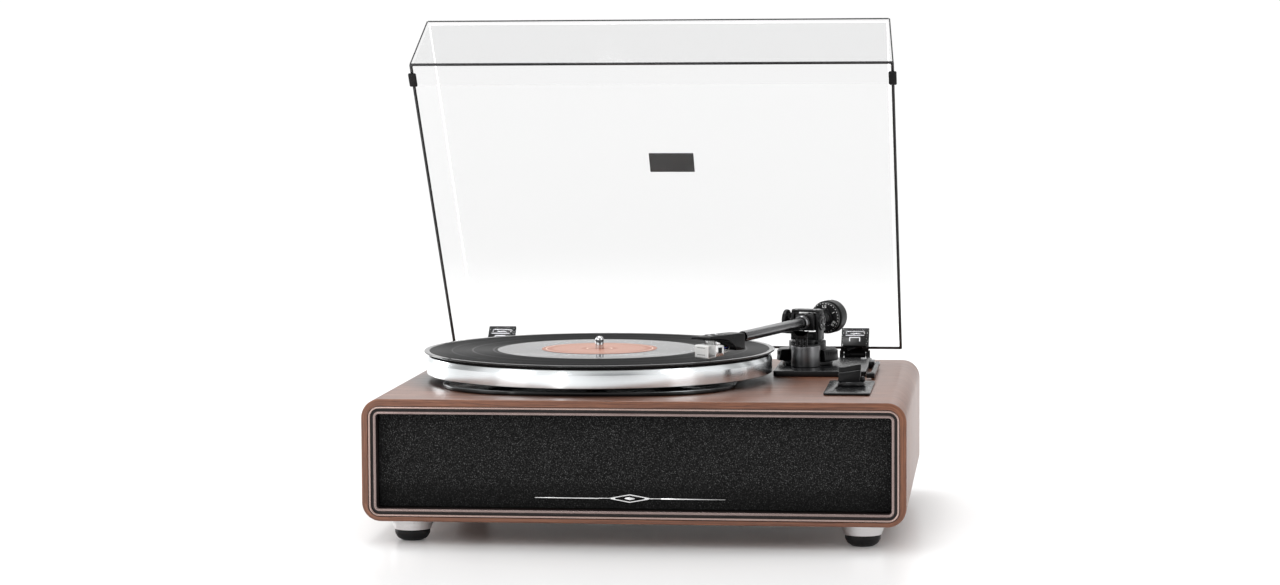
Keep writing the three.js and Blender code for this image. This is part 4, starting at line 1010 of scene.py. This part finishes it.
p = Piece(A @ T(0, 0, AZ) @ ALONG_Y)
p.lathe([(8.0, 48.2, 0.1), (14.2, 48.2, 0.4), (14.7, 49.0, 0.3), (14.7, 61.2, 0.4), (14.0, 62.6, 0.7), (13.2, 62.6, 0.3), (12.8, 61.8, 0.2), (12.8, 52.7, 0.3), (8.0, 52.7, 0.1)], WEIGHT, 120, closed=True)
for k in range(90):
    p.box(14.5, -0.2, 50.0, 14.7, 0.2, 60.6, WEIGHT, 0.06, 1, R(4 * k, "Z"))
p.obj("counterweight_look", "counterweight", ["counterweight"], "weight_steel")

# headshell
p = Piece(H)
body = fillet([(-7.1, 151.1, 0.6), (-7.1, 165.0, 1.2), (-14, 165.15, 2), (-26, 164.9, 2), (-46.4, 164.5, 1), (-48.9, 163.5, 0.6), (-48.9, 161.4, 0.5), (-31, 160.4, 3), (-25.2, 158.7, 4), (-20.7, 155.2, 4), (-17.6, 151.1, 0.5)], 1, 6)
p.side(body, -7.5, 7.5, BLACK, 0.8, 3)
for y0, y1 in ((-22, -29), (-31.5, -42)):
    for q in (-1, 1):
        p.box(q * 4.4 - 0.9, y1, 164.4, q * 4.4 + 0.9, y0, 165.1, BLACK_FINE, 0.3, 2)
for y in (-33.5, -41.5):
    p.lathe([(0, 164.3), (1.35, 164.3, 0.1), (1.35, 165.1, 0.3), (0.6, 165.1, 0.1), (0.6, 164.8), (0, 164.8)], STEEL, 20, T(0, y))
pts = [(-6.5, -38.2, 0.8), (-9.6, -40.9, 3), (-12.1, -45.2, 4), (-13.3, -50.3, 0.8), (-11.3, -50.9, 0.8), (-9.9, -47.2, 4), (-7.8, -45.3, 3), (-5.2, -45.0, 0.8)]
p.prism(fillet(pts, 1, 5), 161.5, 163.2, BLACK, 0.5, 3)
p.obj("headshell_look", "tonearm", ["headshell"], "black_plastic")

p = Piece(H)
cart = fillet([(-31.7, 148.0, 0.5), (-41.4, 147.2, 0.4), (-41.4, 156.8, 0.4), (-34, 156.8, 0.5), (-31.7, 156.2, 0.6)], 0.5, 3)
p.side(cart, -7.1, 7.1, CART_S, 0.5, 2)
p.box(-3.3, -40.2, 156.6, 3.3, -34.7, 160.2, CART, 0.5)
for q in (-1, 1):
    p.box(q * 5.35 - 1.45, -39.6, 156.5, q * 5.35 + 1.45, -35.4, 160.2, CART_S, 0.4)
    p.box(q * 7.1 - 0.1, -38.5, 150.2, q * 7.1 + 0.1, -34.2, 154.8, BLACK, 0.05, 1)
pins = ((-4.2, 150.4), (4.2, 150.4), (-4.2, 154.0), (4.2, 154.0))
for x, z in pins:
    p.lathe([(0, 0), (0.55, 0, 0.1), (0.55, 4.0, 0.2), (0, 4.0)], BRASS, 14, T(x, -31.8, z) @ ALONG_Y)
p.obj("cartridge_look", "tonearm", ["cartridge_body"], "cartridge_silver")

WIRE = [make_plastic("lead_" + n, c, 0.4, 900, 0.02) for n, c in (("red", (0.25, 0.02, 0.02)), ("white", (0.5, 0.5, 0.48)), ("green", (0.02, 0.12, 0.04)), ("blue", (0.02, 0.04, 0.2)))]
p = Piece(H)
for i, (x, z) in enumerate(pins):
    p.lathe([(0, 0), (0.85, 0, 0.2), (0.85, 3.2, 0.3), (0, 3.2)], WIRE[i], 14, T(x, -30.4, z) @ ALONG_Y)
    a, b2, c, d = Vector((x, -27.4, z)), Vector((x * 1.2, -25.0, z - 1.0 + i * 0.3)), Vector((x * 0.6, -22.6, z + 1.0)), Vector((x * 0.45, -19.6, 154.4 + i * 0.4))
    pts = []
    for k in range(17):
        t = k / 16
        pts.append(a * (1 - t) ** 3 + b2 * 3 * t * (1 - t) ** 2 + c * 3 * t * t * (1 - t) + d * t ** 3)
    p.tube(pts, 0.42, WIRE[i], 10)
p.obj("cartridge_leads", "tonearm", slot="cartridge_silver")

p = Piece(H)
front = fillet([(-41.7, 146.7, 0.4), (-50.4, 146.4, 0.6), (-51.3, 147.3, 0.7), (-51.3, 156.3, 1.0), (-50.4, 157.3, 0.6), (-41.7, 157.3, 0.4)], 0.5, 4)
p.side(front, -7.7, 7.7, CART, 0.7, 3)
for q in (-1, 1):
    p.box(q * 7.72 - 0.06, -48.8, 148.4, q * 7.72 + 0.06, -43.4, 148.9, GREY, 0.02, 1)
p.box(-4.6, -51.36, 149.0, 4.6, -51.2, 149.4, GREY, 0.03, 1)
p.box(-4.6, -51.36, 154.8, 4.6, -51.2, 155.2, GREY, 0.03, 1)
holder = p.obj("stylus_holder_look", "tonearm", ["stylus_holder"], "cartridge_silver")
cut(holder, [Piece(H).box(-2.2, -47.2, 144, 2.2, -39, 149.6, CART, 0.0, r=0)])
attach(holder, "tonearm")
p = Piece(H)
p.tube([(0, -45.6, 149.0), (0, -43.4, 147.2), (0, -41.2, 145.7)], 0.32, STEEL, 14)
p.lathe([(0, -0.95), (0.12, -0.9), (0.3, -0.2), (0.3, 0.5), (0, 0.5)], BRASS, 12, T(0, -40.75, 145.45))
p.obj("stylus_look", "tonearm", ["stylus"], "stylus_steel")

# ------------------------------------------------------------------ speed selector
kx, ky = 171.5, -67.0
sp = Piece().prism(rrect(151.5, -125, 189.5, -24.5, 3, 6), 119.3, 121.2, BLACK_FINE, 0.6, 3)
for k, a in enumerate((-30, 0, 30)):
    w = rad(-90 + a)
    sp.lathe([(0, 121.15), (0.8, 121.15), (0.8, 121.22), (0, 121.22)], PRINT, 16, T(kx + 15.5 * math.cos(w), ky + 15.5 * math.sin(w)))
for y in (-118, -31.5):
    sp.lathe([(0, 121.1), (2.2, 121.1, 0.1), (2.2, 121.55, 0.25), (0.8, 121.6, 0.1), (0.8, 121.3), (0, 121.3)], STEEL, 24, T(170.5, y))
sp = sp.obj("selector_plate_look", "root", ["selector_plate"], "arm_base_black")
cut(sp, [Piece().lathe([(0, 110), (4, 110), (4, 125), (0, 125)], BLACK, 32, T(kx, ky))])
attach(sp, "root")
p = Piece(T(kx, ky))
p.lathe([(0, 104), (3.1, 104, 0.3), (3.1, 121.5), (11.3, 121.5, 0.3), (11.3, 123.3, 0.7), (9.8, 125.1, 0.7), (0, 125.2)], BLACK_FINE, 80)
def fin_shape(zl, zr):
    return fillet([(-11, 124.7, 0.8), (7.6, 124.7, 0.8), (8.1, zr, 0.9), (4, zr - 0.5, 8), (-6, zl + 0.2, 8), (-10.2, zl, 0.9)], 0.8, 5)
p.front(fin_shape(132.4, 134.8), -5.2, -2.2, BLACK_FINE, 0.8, 4)
p.front(fin_shape(136.2, 139.0), 2.0, 5.0, BLACK_FINE, 0.8, 4)
p.front(fillet([(-9.5, 124.7), (6.5, 124.7), (6.5, 129.4, 2), (-9.5, 129.4, 2)], 0.6, 4), -3, 3, BLACK_FINE, 0.3, 2)
p.lathe([(0, 124.2), (1.7, 124.6, 0.6), (2.3, 126.8, 1.6), (1.5, 128.9, 0.8), (0, 129.2)], BLACK_FINE, 28, T(9.4, -1))
p.obj("speed_knob_look", "speed_knob", ["speed_knob"], "black_plastic")

# ------------------------------------------------------------------ lid
LW, LL, LH, LT, LD = 205.4, 330.5, 67.3, 2.5, 5.2
def lid_ring(z, d):
    """plan of the lid at height z, moved in by d: (x half, y front, y back)"""
    k = LD * z / LH + d
    return (LW - k, -LL + k, -k)
def rr(z, d, r):
    hx, y0, y1 = lid_ring(z, d)
    return [(x, y, z) for x, y in rrect(-hx, y0, hx, y1, max(r, 0.05), 5)]
def skin(levels, mat, M=L, cap_first=False, cap_last=False, closed=False):
    p = Piece(M)
    verts, faces = [], []
    m = len(levels[0])
    for lv in levels: verts += lv
    n = len(levels)
    for i in range(n if closed else n - 1):
        j = (i + 1) % n
        for k in range(m):
            k2 = (k + 1) % m
            faces.append([i * m + k, i * m + k2, j * m + k2, j * m + k])
    if cap_first: faces.append(list(reversed(range(m))))
    if cap_last: faces.append([(n - 1) * m + k for k in range(m)])
    return p.add(verts, faces, mat)
RC = 0.9
lv = [rr(0.9, 0, 1.6), rr(LH - RC, 0, 1.6)]
for k in range(1, 5):
    w = math.pi / 2 * k / 4
    lv.append(rr(LH - RC + RC * math.sin(w), RC * (1 - math.cos(w)), 1.6))
outer_n = len(lv)
top_in = [rr(LH - LT, LT + 0.7, 0.9), rr(LH - LT - 0.5, LT, 0.9), rr(0.9, LT, 0.9)]
p = Piece(L)
m = len(lv[0])
verts = [q for l in lv for q in l]
faces = []
for i in range(len(lv) - 1):
    for k in range(m):
        faces.append([i * m + k, i * m + (k + 1) % m, (i + 1) * m + (k + 1) % m, (i + 1) * m + k])
faces.append([(len(lv) - 1) * m + k for k in range(m)])
o2 = len(verts)
verts += [q for l in top_in for q in l]
faces.append(list(reversed([o2 + k for k in range(m)])))
for i in range(2):
    for k in range(m):
        faces.append([o2 + i * m + k, o2 + i * m + (k + 1) % m, o2 + (i + 1) * m + (k + 1) % m, o2 + (i + 1) * m + k])
for k in range(m):
    faces.append([o2 + 2 * m + k, o2 + 2 * m + (k + 1) % m, (k + 1) % m, k])
p.add(verts, faces, CLEAR)
lid = p.obj("lid_acrylic", "lid", ["lid_shell"], "lid_clear", sharp=28)
notches = [Piece(L).box(sx * 162.5 - 7.4, -7, -2, sx * 162.5 + 7.4, 2, 8.4, CLEAR, 0, r=0) for sx in (-1, 1)]
cut(lid, notches)
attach(lid, "lid")
# the rim is painted near-black, standing in for the dark reflections seen in the clear edge; the inner corners carry
# glowing painted highlights
rim = skin([rr(0.0, 0.25, 1.5), rr(0.0, LT - 0.25, 1.0), rr(0.2, LT, 0.9), rr(0.85, LT, 0.9), rr(0.85, 0, 1.6), rr(0.2, 0, 1.6)], EDGE_PAINTED_DARK, closed=True).obj("lid_rim", "lid", slot="lid_clear", sharp=50)
cut(rim, notches)
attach(rim, "lid")
p = Piece(L)
def corner(z, sx, front, d):
    hx, y0, y1 = lid_ring(z, d)
    return Vector((sx * hx, y0 if front else y1, z))
# outer corner lines of the front wall and its top edge, painted dark like the rim
for sx in (-1, 1):
    p.tube([corner(1.2, sx, True, 0.75), corner(LH - 1.4, sx, True, 0.75)], 0.62, EDGE_PAINTED_DARK, 8)
ztop = LH - 0.75
quad = [corner(ztop, sx, fr, 0.75) for sx, fr in ((-1, True), (1, True), (1, False), (-1, False))]
p.tube([quad[0] + Vector((0.6, 0, 0)), quad[1] - Vector((0.6, 0, 0))], 0.6, EDGE_PAINTED_DARK, 8)
p.obj("lid_corner_lines", "lid", slot="lid_clear")
# painted highlights: glowing white lines along the inner corners of the top and the rear wall
p = Piece(L)
zi = LH - LT - 0.3
quad = [corner(zi, sx, fr, LT + 0.25) for sx, fr in ((-1, True), (1, True), (1, False), (-1, False))]
for i in range(4):
    a, b2 = quad[i], quad[(i + 1) % 4]
    p.tube([a, b2], 0.45, EDGE_PAINTED_HIGHLIGHT, 8)
for sx in (-1, 1):
    p.tube([corner(1.2, sx, False, LT + 0.15), corner(zi, sx, False, LT + 0.15)], 0.4, EDGE_PAINTED_HIGHLIGHT, 8)
p.obj("lid_inner_fillet_highlights", "lid", slot="lid_clear")
Piece(L).box(-18, -174.5, LH + 0.3, 22, -152.8, LH + 0.9, GREY, 0.22, 2, r=0.5).obj("lid_badge_look", "lid", ["lid_badge"], "badge_grey")
for sx, side in ((-1, "left"), (1, "right")):
    p = Piece(L)
    p.box(sx * 204 - 3.4, -321, -1.9, sx * 204 + 3.4, -307, -0.3, RUBBER, 0.5, 3, r=1.2)
    p.obj(f"lid_bumper_{side}_look", "lid", [f"lid_bumper_{side}"], "foot_rubber")

# ------------------------------------------------------------------ hinges
c52, s52 = math.cos(rad(52)), math.sin(rad(52))
dy, dz = 176 - 169.5, 123.4 - 129
ay, az = dy * c52 - dz * s52, dy * s52 + dz * c52
lean = LD / LH
for sx, side in ((-1, "left"), (1, "right")):
    x = sx * 162.5
    M = L @ T(x, 0, 0)
    p = Piece(M)
    # outer leaf, a shallow tray with a raised edge, following the wall's slope
    def leafprof(y0, z0, z1, t):
        return [(y0 - z0 * lean, z0), (y0 + t - z0 * lean, z0), (y0 + t - z1 * lean, z1), (y0 - z1 * lean, z1)]
    p.side(fillet(leafprof(0.35, -0.4, 26.3, 1.9), 0.3, 2), -12.5, 12.5, BLACK, 0.5, 2)
    for xa, xb in ((-12.5, -10.9), (10.9, 12.5)):
        p.side(fillet(leafprof(1.9, -0.4, 26.3, 1.4), 0.4, 2), xa, xb, BLACK, 0.3, 2)
    p.side(fillet(leafprof(1.9, 24.6, 26.3, 1.4), 0.3, 2), -12.5, 12.5, BLACK, 0.3, 2)
    p.side(fillet(leafprof(1.9, -0.4, 1.6, 1.4), 0.3, 2), -12.5, 12.5, BLACK, 0.3, 2)
    # raised lines in a lighter metal on the face that lies against the clear wall, painted highlights of the leaf's
    # outline
    for xa, xb, za, zb in ((-8.6, 8.6, 21.4, 22.2), (-8.6, -7.9, 11.0, 22.2), (7.9, 8.6, 11.0, 22.2), (-4.6, 4.6, 18.2, 19.8), (-4.6, -3.4, 14.6, 19.4), (3.4, 4.6, 14.6, 19.4)):
        p.side(leafprof(0.12, za, zb, 0.3), xa, xb, HINGE_HIGHLIGHT, 0.05, 1)
    # ribs, and a raised staple shape in the tray in the lighter metal as a painted highlight
    for xa, xb in ((-8.4, -7.4), (7.4, 8.4)):
        p.side(leafprof(2.0, 3.2, 22.6, 0.9), xa, xb, BLACK_FINE, 0.2, 1)
    for xa, xb, za, zb in ((-5.2, 5.2, 17.2, 18.6), (-5.2, -3.6, 12.2, 18.0), (3.6, 5.2, 12.2, 18.0), (-5.6, 5.6, 21.0, 22.2)):
        p.side(leafprof(2.0, za, zb, 0.9), xa, xb, HINGE_HIGHLIGHT, 0.2, 1)
    # block through the notch and the plate inside the lid, with thin strips in the lighter metal as painted highlights
    for xa, xb, za, zb in ((-8.4, 8.4, 11.6, 12.4), (-5.0, 5.0, 8.8, 9.8), (-5.0, -4.0, 4.6, 9.4), (4.0, 5.0, 4.6, 9.4)):
        p.side([(-4.6 - za * lean, za), (-4.6 - zb * lean, zb), (-5.06 - zb * lean, zb), (-5.06 - za * lean, za)], xa, xb, HINGE_HIGHLIGHT, 0.06, 1)
    p.box(-7.0, -4.4, -0.5, 7.0, 2.0, 8.0, BLACK, 0.3)
    p.side(fillet([(-2.85, -0.6), (-2.85 - 14 * lean, 13.9), (-4.9 - 14 * lean, 13.9), (-4.95, -0.6)], 0.3, 2), -10.4, 10.4, BLACK, 0.4, 2)
    # knuckle
    p.side(fillet([(2.2, az - 2.2), (ay - 0.4, az - 2.2), (ay - 0.4, az + 3.2), (2.2, az + 3.2)], 0.4, 2), -9.5, 9.5, BLACK, 0.4, 2)
    p.lathe([(1.95, -9.6, 0.1), (3.4, -9.6, 0.4), (3.4, 9.6, 0.4), (1.95, 9.6, 0.1)], BLACK, 40, T(0, ay, az) @ ALONG_X, closed=True)
    leaf = p.obj(f"hinge_leaf_{side}_look", "lid", [f"hinge_leaf_{side}"], "hinge_black")
    cut(leaf, [Piece(M).lathe([(0, -16), (1.95, -16), (1.95, 16), (0, 16)], BLACK, 32, T(0, ay, az) @ ALONG_X)])
    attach(leaf, "lid")
    p = Piece(T(x, 0, 0))
    p.box(-13.7, 158, 119.3, 13.7, 171.9, 120.5, BLACK, 0.35, 2, r=1.2)
    ear = fillet([(158.6, 119.3, 0.4), (180.0, 119.3, 0.8), (180.1, 123.4, 4.0), (178.6, 127.5, 3.2), (173.6, 127.5, 3.2), (171.9, 123.4, 2.0), (170.6, 120.6, 1.5), (158.6, 120.5, 0.3)], 1, 6)
    for xa, xb in ((-13.7, -10.2), (10.2, 13.7)):
        p.side(ear, xa, xb, BLACK, 0.35, 2)
    p.lathe([(0, -13.0), (1.6, -13.0, 0.2), (1.6, 13.0, 0.2), (0, 13.0)], STEEL, 28, T(0, 176, 123.4) @ ALONG_X)
    for xa in (-8.6, 8.6):
        p.lathe([(0, 120.4), (2.1, 120.4, 0.1), (2.1, 120.75, 0.2), (0.7, 120.75, 0.05), (0.7, 120.55), (0, 120.55)], STEEL, 22, T(xa, 163.5))
    p.obj(f"hinge_bracket_{side}_look", "root", [f"hinge_bracket_{side}"], "hinge_black")

# ------------------------------------------------------------------ back of the cabinet
p = Piece()
for x in (-205, -70, 70, 205):
    for z in (30, 106):
        p.lathe([(0, 0), (2.9, 0, 0.1), (2.9, 0.8, 0.8), (0.9, 1.1, 0.1), (0.9, 0.5), (0, 0.5)], STEEL, 24, T(x, 171.05, z) @ ALONG_Y)
        p.box(-1.6, -0.25, 1.0, 1.6, 0.25, 1.12, GLOSS, 0, 1, T(x, 171.05, z) @ ALONG_Y, r=0)
p.obj("rear_panel_screws", "root", slot="motor_steel")
p = Piece()
p.front(rrect(-158, 56, -110, 80, 2.5, 5), 171.3, 173.3, BLACK, 0.5, 2)
p.box(-151.6, 162, 60.4, -116.4, 172, 75.6, BLACK, 0.3)
barrels = Piece()
for x, ring_m in ((-143, PRINT), (-125, RED)):
    barrels.lathe([(3.1, 172.6 - 171, 0.1), (3.1, 9.6, 0.1), (3.35, 10.0, 0.15), (4.2, 10.0, 0.3), (4.4, 9.4, 0.2), (4.4, 4.2, 0.1), (6.6, 3.9, 0.3), (6.6, 1.6, 0.1)], BRASS, 48, T(x, 171, 68) @ ALONG_Y, closed=True)
    barrels.lathe([(6.7, 2.2, 0.05), (8.0, 2.2, 0.1), (8.0, 2.9, 0.3), (6.7, 2.9, 0.1)], ring_m, 48, T(x, 171, 68) @ ALONG_Y, closed=True)
jack = p.obj("line_out_look", "root", ["line_out_sockets"], "socket_brass")
cut(jack, [Piece().lathe([(0, 1.5), (3.1, 1.5), (3.1, 14), (0, 14)], BLACK, 32, T(x, 171, 68) @ ALONG_Y) for x in (-143, -125)])
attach(jack, "root")
barrels.obj("line_out_barrels", "root", slot="socket_brass")
p = Piece(T(120, 171, 68) @ ALONG_Y)
p.lathe([(0, -13), (5.5, -13, 0.3), (5.5, 0.3), (8, 0.3, 0.1), (8, 2, 0.6), (4.3, 2, 0.2), (4.0, 1.4, 0.2), (3.3, 1.4, 0.1), (3.3, -9), (1.0, -9), (1.0, -0.5, 0.3), (0, -0.5)], BLACK, 48)
p.obj("dc_inlet_look", "root", ["dc_inlet"], "black_plastic")
p = Piece(T(164, 171 - 3.2, 68) @ R(7, "X"))
arc_pts = [(-2.6, -7.6), (4.6, -7.6, 0.8), (5.0, -4.0, 4), (4.2, 0, 8), (5.0, 4.0, 4), (4.6, 7.6, 0.8), (-2.6, 7.6)]
p.side(fillet([(a, b2) + tuple(c) for a, b2, *c in arc_pts], 0.4, 5), -4.4, 4.4, BLACK_FINE, 0.4, 2)
for z in (-5.2,):
    p.lathe([(0.9, 0.0), (1.3, 0.0), (1.3, 0.12), (0.9, 0.12)], PRINT, 24, T(0, 4.95, z) @ ALONG_Y, closed=True)
p.box(-0.2, 4.75, 3.4, 0.2, 5.06, 6.4, PRINT, 0, 1, r=0)
p.obj("power_rocker_look", "power_rocker", ["power_rocker"], "black_plastic")

# ------------------------------------------------------------------ carried-over frame nodes
KEEP = {"speaker_baffle": MDF, "woofer_left": CONE, "woofer_right": CONE, "rear_panel": PANEL, "switch_housing": BLACK, "amplifier_board": BOARD,
        "bearing_housing": BRASS, "motor": STEEL, "motor_pulley": BRASS, "drive_belt": RUBBER, "speed_switch": BLACK}
for node, m in KEEP.items():
    o = NODES[node]
    o.data.materials.clear()
    o.data.materials.append(m)

# ------------------------------------------------------------------ floor
ft = Mat("studio_floor", (0.90, 0.90, 0.90), 0.26, spec=0.35)
fn = ft.noise(ft.coords(), 3, 3)
ft.color(ft.mix(fn, (0.895, 0.895, 0.895), (0.91, 0.91, 0.91)))
# painted light: the floor glows more with distance from the cabinet and not at all close to it, lifting the floor to
# white while the shadow next to the cabinet stays
fr, fs, fv = ft.radius(0, 0)
far = ft.ramp(ft.math("MULTIPLY", fr, 0.1), [(0.0, 0), (0.0215, 0), (0.029, 0.12), (0.055, 0.14), (0.10, 0.19), (0.6, 0.21)])
ft.b.inputs["Emission Strength"].default_value = 1.0
ft.link(far, ft.b.inputs["Emission Color"])
me = bpy.data.meshes.new("floor")
SZ = 30
me.from_pydata([(-SZ, -SZ, 0), (SZ, -SZ, 0), (SZ, SZ, 0), (-SZ, SZ, 0)], [], [(0, 1, 2, 3)])
me.materials.append(ft.m)
floor = bpy.data.objects.new("floor", me)
bpy.context.scene.collection.objects.link(floor)

bpy.context.view_layer.update()
